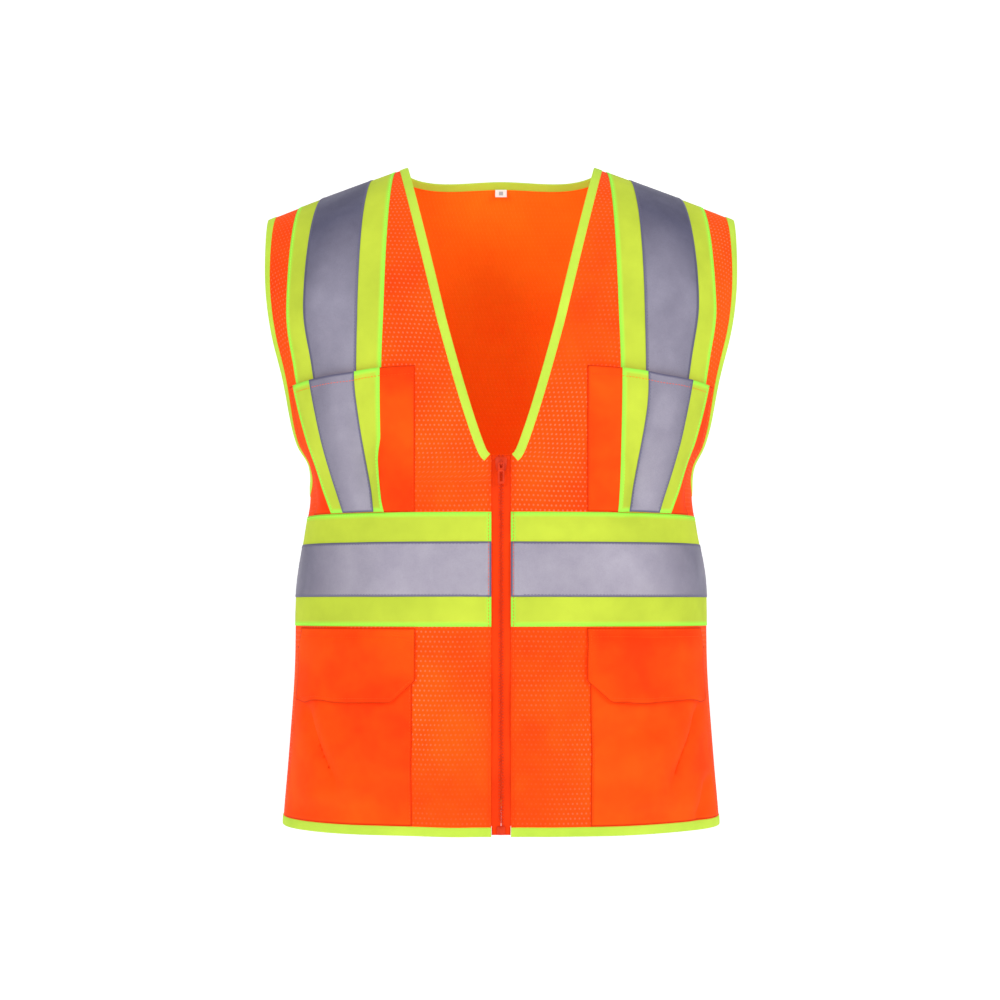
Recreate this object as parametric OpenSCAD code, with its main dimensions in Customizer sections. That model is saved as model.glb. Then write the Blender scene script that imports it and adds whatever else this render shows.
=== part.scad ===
// High visibility vest, worn and filled out, front towards -Y.
// The origin is midway between the two shoulder seams at the neck, where shoulders hold it.
// Every cloth piece lies on one body surface, a stack of rounded sections that closes over
// the shoulders. A place on it is an angle round the section (0 at +X, 90 at the middle of
// the front or back, 180 at -X) and a run up from the hem.

/* [Body shape] */
// Height of the neck point of the shoulder seam above the hem
neck_h = 648; // [560:4:760]
// Height of the outer tip of the shoulder seam above the hem
shoulder_tip_h = 597; // [520:4:700]
// Half of the width at the hem
hem_half_w = 213; // [180:1:260]
// Half of the width under the waist band
hip_half_w = 202; // [170:2:250]
// Half of the width at the underarm
underarm_half_w = 188; // [160:2:230]
// Depth of the front in front of the shoulder seams
front_depth = 125; // [105:1:150]
// Depth of the back behind the shoulder seams
back_depth = 115; // [95:1:140]
// How square the sections are, 2 for an ellipse
roundness = 2.5; // [2.2:0.1:3]

/* [Openings] */
// Height of the underarm above the hem
underarm_h = 326; // [310:2:340]
// Height where the chest starts to turn over the shoulders
chest_h = 480; // [470:2:520]
// Half of the widest gap across an armhole
armhole_half_gap = 52; // [40:1:60]
// Half of the width across the armhole edges at the chest
chest_half_w = 224; // [205:1:260]
// Half of the width across the shoulder tips
shoulder_half_w = 233; // [215:1:270]
// Half of the width of the neck opening at the shoulder seams
neck_half_w = 94; // [80:1:98]
// How far behind the shoulder seams the back neck sits
neck_back_reach = 61; // [50:1:75]
// Height of the bottom of the V neck above the hem
v_bottom_h = 350; // [344:1:370]

/* [Cloth] */
// Thickness of the shell fabric
fabric_t = 0.8; // [0.6:0.1:1]
// Thickness of a tape
tape_t = 0.5; // [0.4:0.1:0.6]
// Space between one layer and the next
layer_gap = 0.5; // [0.4:0.1:0.7]
// Space between the edges of two pieces that meet at a seam
seam_gap = 0.3; // [0.2:0.1:0.6]
// Width of the edge binding
binding_w = 6.5; // [5:0.5:10]
// Wall of the edge binding
binding_t = 0.7; // [0.5:0.1:1]
// Space between the fabric's edge and the binding folded over it
binding_gap = 0.7; // [0.5:0.1:0.9]

/* [Waist band] */
// Height of the lower edge of the waist band above the hem
band_h = 191; // [185:1:200]
// Width of the contrast border on each side of the silver tape
border_w = 27.5; // [20:0.5:30]
// Width of the silver tape
silver_w = 51; // [45:1:55]

/* [Shoulder straps] */
// Inner edge of the strap at the shoulder seam
strap_x = 104; // [100:1:112]
// Width of a strap border at the shoulder seam
strap_border_w = 23; // [18:1:25]
// Width of a strap's silver tape at the shoulder seam
strap_silver_w = 50; // [44:1:54]

/* [Chest pockets] */
// Height of the mouth of a chest pocket above the hem
chest_pocket_h = 434; // [425:1:445]
// Inner edge of a chest pocket
chest_pocket_x = 80; // [72:1:90]
// How far the mouth drops from the inner edge to the armhole
chest_pocket_drop = 16; // [8:1:18]
// How far a chest pocket stands off the shell at its fullest
chest_pocket_puff = 10; // [9:0.5:12]

/* [Lower pockets] */
// Height of the mouth of a lower pocket above the hem
lower_pocket_h = 171; // [160:1:173]
// Inner edge of a lower pocket
lower_pocket_x = 82; // [74:1:92]
// How far a lower pocket stands off the shell at its fullest
lower_pocket_puff = 10; // [9:0.5:12]
// Height of the free edge of a flap above the hem
flap_edge_h = 121; // [112:1:130]
// Height of the chamfered inner corner of a flap above the hem
flap_corner_h = 139; // [132:1:145]
// Length of the chamfer along the free edge
flap_chamfer_w = 21; // [12:1:26]
// Inner edge of a flap
flap_x = 79; // [71:1:89]
// Width and height of a closure patch
patch_w = 26; // [20:1:30]
patch_h = 16; // [12:1:20]

/* [Zip] */
// Half of the width of the zip that shows between the fronts
zip_reveal = 9; // [8:0.5:11]
// Width of one zip tape
zip_tape_w = 14; // [12:0.5:16]
// Distance from one tooth to the next on one side
tooth_pitch = 2.8; // [2.6:0.1:3.4]
// Height of one tooth along the zip
tooth_h = 1.1; // [0.9:0.1:1.2]
// Reach of a tooth from the middle of the chain
tooth_w = 2.6; // [2.4:0.1:2.8]
// Thickness of a tooth through the chain
tooth_t = 2.6; // [2.4:0.1:2.8]
// Length of the slider
slider_l = 13; // [12:0.5:15]
// Width of the slider at its shoulders
slider_w = 11; // [10:0.5:12]
// Thickness of each slider plate
slider_plate_t = 1.3; // [1.2:0.1:1.6]
// Length of the slider pull below its crossbar
pull_l = 19; // [15:0.5:24]
// Width of the slider pull
pull_w = 6.4; // [5.8:0.2:7]
// Diameter of the crossbar of the pull
crossbar_d = 1.8; // [1.6:0.1:2]
// Space between a running part and the one that it runs in
running_gap = 0.1; // [0.08:0.01:0.15]

/* [Label] */
// Width of the size label
label_w = 12; // [10:1:18]
// Length of the size label
label_l = 8; // [7:0.5:14]

/* [Hidden] */
$fn = 48;
orange = "#ff5a12";
lime = "#c6f04a";
silver = "#a9a5b4";
FRONT = -1;
BACK = 1;

// Heights that follow from the band
band_silver_h = band_h + border_w;
band_silver_top = band_silver_h + silver_w;
band_top = band_silver_top + border_w;

// Offsets of the layers from the body surface
contrast_off = fabric_t + layer_gap;
silver_off = contrast_off + tape_t + layer_gap;
stack_top = silver_off + tape_t;

// The run over the shoulder, and where the seam on top of it lies
shoulder_run = 200;
seam_run = chest_h + shoulder_run * 0.998;
shoulder_slope = (neck_h - shoulder_tip_h) / (shoulder_half_w - neck_half_w);

// The side outline below the underarm, and the armhole edge above it
side_outline = [[0, hem_half_w], [75, hem_half_w - 6], [170, hip_half_w], [222, hip_half_w],
    [underarm_h - 32, underarm_half_w + 3], [underarm_h, underarm_half_w]];
armhole_outline = [[underarm_h, underarm_half_w], [underarm_h + 12, underarm_half_w + 1],
    [375, chest_half_w - 22], [428, chest_half_w - 13], [chest_h, chest_half_w],
    [chest_h + 55, shoulder_half_w - 3], [seam_run, shoulder_half_w]];
front_depths = [[0, front_depth], [v_bottom_h, front_depth], [chest_h, front_depth - 7]];
back_depths = [[0, back_depth], [240, back_depth - 5], [chest_h, back_depth]];

// ---- the body surface ----

function signed_pow(v, p) = sign(v) * pow(abs(v), p);

function depth_at(side, h) = lookup(h, side == FRONT ? front_depths : back_depths);

// Half of the gap across the armhole, a quarter ellipse up from the underarm to the chest
function gap_at(run) = run <= underarm_h ? 0
    : let (drop = max(0, chest_h - run) / (chest_h - underarm_h))
      armhole_half_gap * sqrt(max(0, 1 - drop * drop));

// Above the underarm a section is as wide as makes its armhole edge follow the outline
function half_width_at(side, run) = run <= underarm_h ? lookup(run, side_outline)
    : lookup(run, armhole_outline)
        / pow(1 - pow(gap_at(run) / depth_at(side, run), roundness), 1 / roundness);

// The shoulder seam slopes down from the neck, and rounds over between the two sides of it
function seam_height(x) =
    let (share = abs(x) / neck_half_w)
    neck_h + shoulder_slope * neck_half_w
        * (share >= 1 ? 1 - share : 1 - 2 * share * share + share * share * share);

function arc_of(run) = 90 * max(0, run - chest_h) / shoulder_run;

function surface_point(side, angle, run) =
    let (h = min(run, chest_h),
         arc = arc_of(run),
         x = half_width_at(side, run) * signed_pow(cos(angle), 2 / roundness),
         y = side * depth_at(side, h) * signed_pow(sin(angle), 2 / roundness) * cos(arc),
         z = h + (seam_height(x) - chest_h) * sin(arc) - neck_h)
    [x, y, z];

function unit(v) = v / norm(v);

function surface_normal(side, angle, run) =
    side * unit(cross(
        surface_point(side, angle + 0.4, run) - surface_point(side, angle - 0.4, run),
        surface_point(side, angle, run + 2) - surface_point(side, angle, run - 2)));

// place = [side, angle, run, offset outwards]
function on_body(place) =
    surface_point(place[0], place[1], place[2])
        + place[3] * surface_normal(place[0], place[1], place[2]);

// The angle at which the section reaches x, and the one at which it stands y off the side
function angle_at_x(side, x, run) =
    acos(max(-1, min(1, signed_pow(x / half_width_at(side, run), roundness / 2))));
function angle_at_gap(side, gap, run) = asin(min(1, pow(gap / depth_at(side, run), roundness / 2)));

function outer_angle(side, run) = angle_at_gap(side, max(seam_gap, gap_at(run)), run);

// Inner edge of a front: straight along the zip, then the V
function front_edge_x(run) = run <= v_bottom_h ? zip_reveal
    : let (rise = chest_h + (neck_h - chest_h) * sin(arc_of(run)),
           share = ((run <= chest_h ? run : rise) - v_bottom_h) / (neck_h - v_bottom_h))
      zip_reveal + 3 + (neck_half_w - zip_reveal - 3) * pow(share, 0.85);

// Arc at which the back ends: the seam outside the neck, a half oval across it
function back_top_arc(x) = abs(x) >= neck_half_w ? 89.82
    : let (reach = neck_back_reach * sqrt(1 - pow(x / neck_half_w, 2)),
           full = surface_point(BACK, angle_at_x(BACK, x, chest_h), chest_h)[1])
      min(89.82, acos(reach / full));

// ---- sheets ----

function steps(a, b, n) = [for (k = [1 : n]) a + (b - a) * k / n];
function rows_between(rows, a, b) = [for (r = rows) if (r >= a - 0.01 && r <= b + 0.01) r];

shell_rows = concat([0], steps(0, band_h, 7), [band_silver_h],
    steps(band_silver_h, band_silver_top, 2), [band_top, underarm_h - binding_w, underarm_h],
    [for (k = [1 : 3]) underarm_h + (v_bottom_h - underarm_h) * k * k / 9],
    steps(v_bottom_h, chest_h, 6), steps(chest_h, seam_run - binding_w, 11), [seam_run]);

function quad(a, b, c, d) = [[a, b, c], [a, c, d]];

// A closed sheet between an outer and an inner grid of points, rows upwards and columns
// to the right as seen from outside
module sheet(outer, inner) {
    m = len(outer);
    n = len(outer[0]);
    function k(i, j) = i * n + j;
    function q(i, j) = m * n + i * n + j;
    points = concat([for (row = outer) each row], [for (row = inner) each row]);
    faces = concat(
        [for (i = [0 : m - 2], j = [0 : n - 2])
            each quad(k(i, j), k(i + 1, j), k(i + 1, j + 1), k(i, j + 1))],
        [for (i = [0 : m - 2], j = [0 : n - 2])
            each quad(q(i, j), q(i, j + 1), q(i + 1, j + 1), q(i + 1, j))],
        [for (j = [0 : n - 2]) each quad(k(0, j), k(0, j + 1), q(0, j + 1), q(0, j))],
        [for (j = [0 : n - 2])
            each quad(k(m - 1, j + 1), k(m - 1, j), q(m - 1, j), q(m - 1, j + 1))],
        [for (i = [0 : m - 2]) each quad(k(i + 1, 0), k(i, 0), q(i, 0), q(i + 1, 0))],
        [for (i = [0 : m - 2])
            each quad(k(i, n - 1), k(i + 1, n - 1), q(i + 1, n - 1), q(i, n - 1))]);
    polyhedron(points = points, faces = faces, convexity = 8);
}

function backwards(list) = [for (k = [len(list) - 1 : -1 : 0]) list[k]];

// A sheet laid on the body: places is a grid of [side, angle, run, offset]
module cloth(places, thickness) {
    raised = [for (row = places) [for (p = row) [p[0], p[1], p[2], p[3] + thickness]]];
    sheet([for (row = raised) [for (p = row) on_body(p)]],
        [for (row = places) [for (p = row) on_body(p)]]);
}

// The wearer's right side is the mirror image of the left
module on_side(hand) {
    if (hand == "left") children();
    else mirror([1, 0, 0]) children();
}

// ---- shell panels ----

// Columns of a left front from its inner edge to its side, and of the whole back. The last
// one lies under the armhole binding.
front_columns = 12;
edge_share = 0.05;
function column_share(j, columns) = j == columns ? 1 : j * (1 - edge_share) / (columns - 1);
function front_angle(run, j) =
    let (inner = angle_at_x(FRONT, front_edge_x(run), run))
    inner + (outer_angle(FRONT, run) - inner) * column_share(j, front_columns);

back_neck_columns = 6;
back_side_columns = 10;
function back_half_angle(run, j) =
    let (turn = angle_at_x(BACK, neck_half_w, run))
    j <= back_neck_columns
        ? angle_at_x(BACK, neck_half_w * sin(90 * j / back_neck_columns), run)
        : turn + (outer_angle(BACK, run) - turn)
            * column_share(j - back_neck_columns, back_side_columns);
back_reach = back_neck_columns + back_side_columns;
function back_angle(run, j) = j >= 0 ? back_half_angle(run, j) : 180 - back_half_angle(run, -j);

function back_run(run, angle) = run <= chest_h ? run
    : let (x = surface_point(BACK, angle, chest_h)[0])
      chest_h + (run - chest_h) / (seam_run - chest_h) * back_top_arc(x) / 90 * shoulder_run;

module front_cloth(rows, off, thickness) {
    cloth([for (r = rows) [for (j = [0 : front_columns]) [FRONT, front_angle(r, j), r, off]]],
        thickness);
}

module back_cloth(rows, off, thickness) {
    cloth([for (r = rows) [for (j = [-back_reach : back_reach])
        let (angle = back_angle(r, -j)) [BACK, angle, back_run(r, angle), off]]],
        thickness);
}

module front_panel(hand) {
    color(orange) on_side(hand) front_cloth(shell_rows, 0, fabric_t);
}

module back_panel() {
    color(orange) back_cloth(shell_rows, 0, fabric_t);
}

// ---- bindings ----

// Cross-section of a binding folded over an edge: [into the panel, outwards]
binding_section = [
    [binding_w, fabric_t + binding_gap + binding_t],
    [-binding_gap - binding_t, fabric_t + binding_gap + binding_t],
    [-binding_gap - binding_t, -binding_gap - binding_t],
    [binding_w, -binding_gap - binding_t],
    [binding_w, -binding_gap],
    [-binding_gap, -binding_gap],
    [-binding_gap, fabric_t + binding_gap],
    [binding_w, fabric_t + binding_gap]];

// A place on the body reached from place p by going a distance along the unit vector into
function gone_in(p, into, distance) =
    let (here = surface_point(p[0], p[1], p[2]),
         by_angle = (surface_point(p[0], p[1] + 0.05, p[2]) - here) / 0.05,
         by_run = (surface_point(p[0], p[1], p[2] + 0.5) - here) / 0.5,
         aa = by_angle * by_angle,
         ar = by_angle * by_run,
         rr = by_run * by_run,
         a_in = by_angle * into,
         r_in = by_run * into,
         det = aa * rr - ar * ar)
    [p[0], p[1] + distance * (a_in * rr - r_in * ar) / det,
        p[2] + distance * (aa * r_in - ar * a_in) / det];

// edge is a list of [side, angle, run] on the panel's edge, with the panel on its left as
// seen from outside
module binding(edge, closed = false) {
    n = len(edge);
    m = len(binding_section);
    centres = [for (p = edge) surface_point(p[0], p[1], p[2])];
    rings = [for (i = [0 : n - 1])
        let (before = closed ? (i + n - 1) % n : max(0, i - 1),
             after = closed ? (i + 1) % n : min(n - 1, i + 1),
             along = unit(centres[after] - centres[before]),
             p = edge[i],
             into = unit(cross(surface_normal(p[0], p[1], p[2]), along)))
        [for (s = binding_section)
            let (q = gone_in(p, into, s[0])) on_body([q[0], q[1], q[2], s[1]])]];
    spans = closed ? n : n - 1;
    faces = concat(
        [for (i = [0 : spans - 1], k = [0 : m - 1])
            each quad(i * m + k, ((i + 1) % n) * m + k,
                ((i + 1) % n) * m + (k + 1) % m, i * m + (k + 1) % m)],
        closed ? [] : concat(end_faces(0, m, true), end_faces((n - 1) * m, m, false)));
    polyhedron(points = [for (ring = rings) each ring], faces = faces, convexity = 8);
}

// The U of a binding's end is three quads: outer leg, fold and inner leg
function end_faces(base, m, first) =
    let (quads = [[0, 1, 6, 7], [1, 2, 5, 6], [2, 3, 4, 5]])
    [for (f = quads)
        let (g = [for (v = f) base + v])
        each first ? quad(g[0], g[1], g[2], g[3]) : quad(g[3], g[2], g[1], g[0])];

v_runs = [for (r = shell_rows) if (r >= v_bottom_h) r];
left_v_edge = [for (r = v_runs) [FRONT, angle_at_x(FRONT, front_edge_x(r), r), r]];
right_v_edge = [for (p = left_v_edge) [FRONT, 180 - p[1], p[2]]];
back_neck_edge = [for (j = [-back_neck_columns + 1 : back_neck_columns - 1])
    let (angle = back_angle(chest_h, j))
    [BACK, angle, back_run(seam_run, angle)]];

module neck_binding() {
    color(lime) binding(concat(right_v_edge, back_neck_edge, backwards(left_v_edge)));
}

armhole_runs = [for (r = shell_rows) if (r >= underarm_h) r];
function armhole_angle(side, run) = run <= underarm_h ? 0 : outer_angle(side, run);
left_armhole_edge = concat(
    [for (r = backwards(armhole_runs)) [BACK, armhole_angle(BACK, r), r]],
    [for (r = armhole_runs) if (r > underarm_h) [FRONT, armhole_angle(FRONT, r), r]]);

module armhole_binding(hand) {
    color(lime) on_side(hand) binding(left_armhole_edge, closed = true);
}

hem_edge = concat(
    [for (j = [0 : front_columns - 1]) [FRONT, front_angle(0, j), 0]],
    [for (j = [back_reach : -1 : -back_reach]) [BACK, back_angle(0, j), 0]],
    [for (j = [front_columns - 1 : -1 : 0]) [FRONT, 180 - front_angle(0, j), 0]]);

module hem_binding() {
    color(lime) binding(hem_edge);
}

// ---- waist band ----

band_rows = rows_between(shell_rows, band_h, band_top);
silver_rows = rows_between(shell_rows, band_silver_h, band_silver_top);

module front_waist_contrast(hand) {
    color(lime) on_side(hand) front_cloth(band_rows, contrast_off, tape_t);
}
module front_waist_reflective(hand) {
    color(silver) on_side(hand) front_cloth(silver_rows, silver_off, tape_t);
}
module back_waist_contrast() {
    color(lime) back_cloth(band_rows, contrast_off, tape_t);
}
module back_waist_reflective() {
    color(silver) back_cloth(silver_rows, silver_off, tape_t);
}

// ---- shoulder straps ----

// The four edges of a strap across x, from the inner border to the outer one, at each run
strap_edges = [for (k = [0 : 3])
    let (seam_x = [strap_x, strap_x + strap_border_w, strap_x + strap_border_w + strap_silver_w,
            strap_x + 2 * strap_border_w + strap_silver_w][k],
         mid_x = seam_x + [6, 8, 9, 5][k],
         chest_x = seam_x + [8, 9, 2, -2][k],
         band_x = seam_x + [4, -8, -29, -40][k])
    [[band_top, band_x], [chest_pocket_h, chest_x], [chest_h + 20, mid_x], [seam_run, seam_x]]];
back_strap_edges = [for (k = [0 : 3])
    let (seam_x = strap_edges[k][3][1])
    [[band_top, seam_x - [8, 10, 16, 22][k]], [seam_run, seam_x]]];

// A tape along a strap, between two of its edges
module strap_tape(side, edges, first, last, rows, columns, off) {
    places = [for (r = rows) [for (j = [0 : columns])
        let (share = side == FRONT ? j / columns : 1 - j / columns,
             a = angle_at_x(side, lookup(r, edges[first]), r),
             b = angle_at_x(side, lookup(r, edges[last]), r))
        [side, a + (b - a) * share, r, off]]];
    cloth(places, tape_t);
}

front_strap_rows = rows_between(shell_rows, 400, seam_run);
back_strap_rows = concat([band_top + 1], rows_between(shell_rows, underarm_h, seam_run));

module strap_contrast(hand) {
    color(lime) on_side(hand)
        strap_tape(FRONT, strap_edges, 0, 3, front_strap_rows, 8, contrast_off);
}
module strap_reflective(hand) {
    color(silver) on_side(hand)
        strap_tape(FRONT, strap_edges, 1, 2, front_strap_rows, 4, silver_off);
}
module back_strap_contrast(hand) {
    color(lime) on_side(hand)
        strap_tape(BACK, back_strap_edges, 0, 3, back_strap_rows, 8, contrast_off);
}
module back_strap_reflective(hand) {
    color(silver) on_side(hand)
        strap_tape(BACK, back_strap_edges, 1, 2, back_strap_rows, 4, silver_off);
}

// ---- chest pockets ----

// Fullness across a pocket and up it: flat at its sewn edges, open at its mouth
function fullness(share) = 1 - pow(2 * max(0, min(1, share)) - 1, 4);
function rise_of(share) = 1 - pow(1 - max(0, min(1, share)), 4);

chest_pocket_foot = band_top + 2;
chest_pocket_low = stack_top + layer_gap;
chest_pocket_rows = concat([chest_pocket_foot], steps(chest_pocket_foot, chest_pocket_h, 6));

// The columns of the pocket: its inner edge, the strap's four edges and its outer edge
function chest_pocket_outer_x(run) = run <= underarm_h + 12 ? underarm_half_w - 8
    : lookup(run, armhole_outline) - binding_w - 2;
function chest_pocket_xs(run) =
    let (e = [for (k = [0 : 3]) lookup(run, strap_edges[k])], out = chest_pocket_outer_x(run))
    [chest_pocket_x, (chest_pocket_x + e[0]) / 2, e[0], (e[0] + e[1]) / 2, e[1],
        (2 * e[1] + e[2]) / 3, (e[1] + 2 * e[2]) / 3, e[2], (e[2] + e[3]) / 2,
        min(e[3], out - 4), out];
function chest_pocket_off(run, x) =
    let (out = chest_pocket_outer_x(run))
    chest_pocket_low + (chest_pocket_puff - chest_pocket_low)
        * fullness((x - chest_pocket_x) / (out - chest_pocket_x))
        * rise_of((run - chest_pocket_foot) / (chest_pocket_h - chest_pocket_foot));

// A row of the pocket drops towards the armhole, most at the mouth
function chest_pocket_run(run, x) =
    run - chest_pocket_drop * pow((x - chest_pocket_x) / (chest_half_w - chest_pocket_x), 1.5)
        * (run - chest_pocket_foot) / (chest_pocket_h - chest_pocket_foot);

module chest_pocket_cloth(first, last, lift, thickness) {
    cloth([for (r = chest_pocket_rows) let (xs = chest_pocket_xs(r))
        [for (j = [first : last])
            let (x = xs[j], run = chest_pocket_run(r, x))
            [FRONT, angle_at_x(FRONT, x, run), run, chest_pocket_off(r, x) + lift]]],
        thickness);
}

module chest_pocket(hand) {
    color(orange) on_side(hand) chest_pocket_cloth(0, 10, 0, fabric_t);
}
module chest_pocket_contrast(hand) {
    color(lime) on_side(hand) chest_pocket_cloth(2, 9, contrast_off, tape_t);
}
module chest_pocket_reflective(hand) {
    color(silver) on_side(hand) chest_pocket_cloth(4, 7, silver_off, tape_t);
}

// ---- lower pockets ----

lower_pocket_foot = binding_w + 2;
lower_pocket_low = contrast_off;
lower_pocket_columns = 10;
lower_pocket_rows = concat([lower_pocket_foot], steps(lower_pocket_foot, lower_pocket_h, 7));
function lower_pocket_outer_x(run) = lookup(run, side_outline) - 7;
function lower_pocket_off(run, x) =
    lower_pocket_low + (lower_pocket_puff - lower_pocket_low)
        * fullness((x - lower_pocket_x) / (lower_pocket_outer_x(run) - lower_pocket_x))
        * rise_of((run - lower_pocket_foot) / (lower_pocket_h - lower_pocket_foot));
function lower_pocket_x_at(run, j) =
    let (a = angle_at_x(FRONT, lower_pocket_x, run),
         b = angle_at_x(FRONT, lower_pocket_outer_x(run), run))
    surface_point(FRONT, a + (b - a) * j / lower_pocket_columns, run)[0];

module lower_pocket(hand) {
    color(orange) on_side(hand)
        cloth([for (r = lower_pocket_rows) [for (j = [0 : lower_pocket_columns])
            let (x = lower_pocket_x_at(r, j))
            [FRONT, angle_at_x(FRONT, x, r), r, lower_pocket_off(r, x)]]], fabric_t);
}

// ---- flaps ----

flap_top_h = band_h - 1.5;
flap_clearance = 3;
flap_root_off = stack_top + 1.2;
flap_columns = 10;
function flap_outer_x(run) = lookup(run, side_outline) - 12;
function flap_x_at(run, j) =
    let (a = angle_at_x(FRONT, flap_x, run), b = angle_at_x(FRONT, flap_outer_x(run), run))
    surface_point(FRONT, a + (b - a) * j / flap_columns, run)[0];
function flap_bottom(x) = x >= flap_x + flap_chamfer_w ? flap_edge_h
    : flap_corner_h + (flap_edge_h - flap_corner_h) * (x - flap_x) / flap_chamfer_w;
function flap_off(run, x) =
    let (full = max(flap_root_off, lower_pocket_off(min(run, lower_pocket_h), x) + flap_clearance))
    flap_root_off + (full - flap_root_off)
        * min(1, (flap_top_h - run) / (flap_top_h - lower_pocket_h) + 0.15);

module pocket_flap(hand) {
    color(orange) on_side(hand)
        cloth([for (i = [6 : -1 : 0]) [for (j = [0 : flap_columns])
            let (x = flap_x_at(flap_top_h, j),
                 run = flap_top_h + (flap_bottom(x) - flap_top_h) * i / 6)
            [FRONT, angle_at_x(FRONT, x, run), run, flap_off(run, x)]]], fabric_t);
}

patch_x = (flap_x + flap_outer_x(flap_edge_h)) / 2;
patch_foot = flap_edge_h + 7;

module closure_patch(off) {
    cloth([for (i = [0 : 2]) [for (j = [0 : 3])
        let (x = patch_x + patch_w * (j / 3 - 0.5), run = patch_foot + patch_h * i / 2)
        [FRONT, angle_at_x(FRONT, x, run), run, lower_pocket_off(run, x) + off]]], 0.4);
}
module loop_patch(hand) {
    color("#e84a10") on_side(hand) closure_patch(fabric_t + 0.3);
}
module hook_patch(hand) {
    color("#e84a10") on_side(hand) closure_patch(flap_clearance - 0.7);
}

// ---- zip ----

hem_z = -neck_h;
zip_top_z = v_bottom_h - neck_h;
chain_y = -front_depth + 0.6;
zip_tape_t = 0.6;
zip_foot = 12;
slider_z = zip_top_z - slider_l / 2 - 2;
chain_top = slider_z - 1;
teeth_count = floor((chain_top - hem_z - zip_foot) / tooth_pitch);

// The tape is full width between the two bindings and narrow where they pass over it
zip_tape_x = tooth_w + 0.1;
zip_tape_narrow = zip_reveal - binding_gap - binding_t - 0.8 - zip_tape_x;
zip_tape_foot = binding_w + 1.5;
module zip_tape(hand) {
    color(orange) on_side(hand) translate([zip_tape_x, chain_y - zip_tape_t / 2, hem_z]) {
        translate([0, 0, 1]) cube([zip_tape_narrow, zip_tape_t, v_bottom_h - 1]);
        translate([0, 0, zip_tape_foot])
            cube([zip_tape_w, zip_tape_t, v_bottom_h - 5 - zip_tape_foot]);
    }
}

module zip_teeth(hand) {
    shift = hand == "left" ? 0 : tooth_pitch / 2;
    color("#e2480c") on_side(hand)
        for (k = [0 : teeth_count - 1])
            translate([-0.6, chain_y - tooth_t / 2, hem_z + zip_foot + shift + k * tooth_pitch])
                cube([tooth_w + 0.6, tooth_t, tooth_h]);
}

// Outline of the slider seen from the front, wider at its shoulders
module slider_outline() {
    polygon([[-slider_w * 0.38, -slider_l / 2], [slider_w * 0.38, -slider_l / 2],
        [slider_w / 2, slider_l * 0.12], [slider_w / 2, slider_l * 0.36],
        [slider_w * 0.36, slider_l / 2], [-slider_w * 0.36, slider_l / 2],
        [-slider_w / 2, slider_l * 0.36], [-slider_w / 2, slider_l * 0.12]]);
}

channel_t = tooth_t + 0.6;
slider_t = channel_t + 2 * slider_plate_t;
lug_w = 1.8;
crossbar_y = chain_y - slider_t / 2 - crossbar_d / 2 - 1.5;

module zip_slider() {
    color("#f0500e") {
        difference() {
            translate([0, chain_y + slider_t / 2, slider_z]) rotate([90, 0, 0])
                linear_extrude(slider_t) slider_outline();
            translate([-tooth_w - 0.7, chain_y - channel_t / 2, slider_z - slider_l])
                cube([2 * tooth_w + 1.4, channel_t, 2 * slider_l]);
            translate([-slider_w, chain_y - zip_tape_t / 2 - 0.4, slider_z - slider_l])
                cube([2 * slider_w, zip_tape_t + 0.8, 2 * slider_l]);
        }
        // the wedge that parts the two rows of teeth
        translate([0, chain_y + channel_t / 2 + 0.1, slider_z + slider_l / 2 - 3.2])
            rotate([90, 0, 0]) linear_extrude(channel_t + 0.2)
                polygon([[0, -1.8], [1.3, 1], [0.9, 3], [-0.9, 3], [-1.3, 1]]);
        // the lug that holds the pull's crossbar
        difference() {
            translate([-lug_w / 2, crossbar_y - crossbar_d / 2 - 0.9, slider_z - 2.4])
                cube([lug_w, chain_y - slider_t / 2 - crossbar_y + crossbar_d / 2 + 1, 4.8]);
            translate([-lug_w, crossbar_y, slider_z]) rotate([0, 90, 0])
                cylinder(h = 2 * lug_w, d = crossbar_d + 2 * running_gap);
        }
    }
}

module zip_pull() {
    arm_in = lug_w / 2 + 0.25;
    color("#f0500e") translate([0, crossbar_y, slider_z]) {
        rotate([0, 90, 0]) cylinder(h = pull_w - 1, d = crossbar_d, center = true);
        for (s = [-1, 1])
            translate([s > 0 ? arm_in : -pull_w / 2, -crossbar_d / 2, -4.4])
                cube([pull_w / 2 - arm_in, crossbar_d, 5.3]);
        difference() {
            translate([-pull_w / 2, -crossbar_d / 2, -pull_l]) cube([pull_w, crossbar_d, pull_l - 4]);
            translate([0, crossbar_d, 2 - pull_l]) rotate([90, 0, 0])
                linear_extrude(2 * crossbar_d) translate([-1.3, 0]) square([2.6, pull_l - 9]);
        }
    }
}

module zip_top_stops() {
    color("#e2480c")
        for (s = [-1, 1])
            translate([s * (tooth_w - 0.9) - 0.8, chain_y - tooth_t / 2, zip_top_z - 1.4])
                cube([1.6, tooth_t, 1.4]);
}

pin_d = 1.8;
pin_x = 1.5;
box_w = 8;
box_t = 4;
box_h = 8;

module zip_box() {
    color("#e2480c") difference() {
        translate([-box_w / 2, chain_y - box_t / 2, hem_z + 1]) cube([box_w, box_t, box_h]);
        translate([pin_x, chain_y, hem_z + 2]) cylinder(h = box_h + 2, d = pin_d + 2 * running_gap);
        for (s = [-1, 1])
            translate([s > 0 ? tooth_w : -box_w, chain_y - zip_tape_t / 2 - 0.2, hem_z])
                cube([box_w - tooth_w, zip_tape_t + 0.4, box_h + 4]);
    }
}

module zip_pin() {
    color("#e2480c") translate([pin_x, chain_y, hem_z + 2.2])
        cylinder(h = zip_foot - 3, d = pin_d);
}

// ---- size label ----

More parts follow.
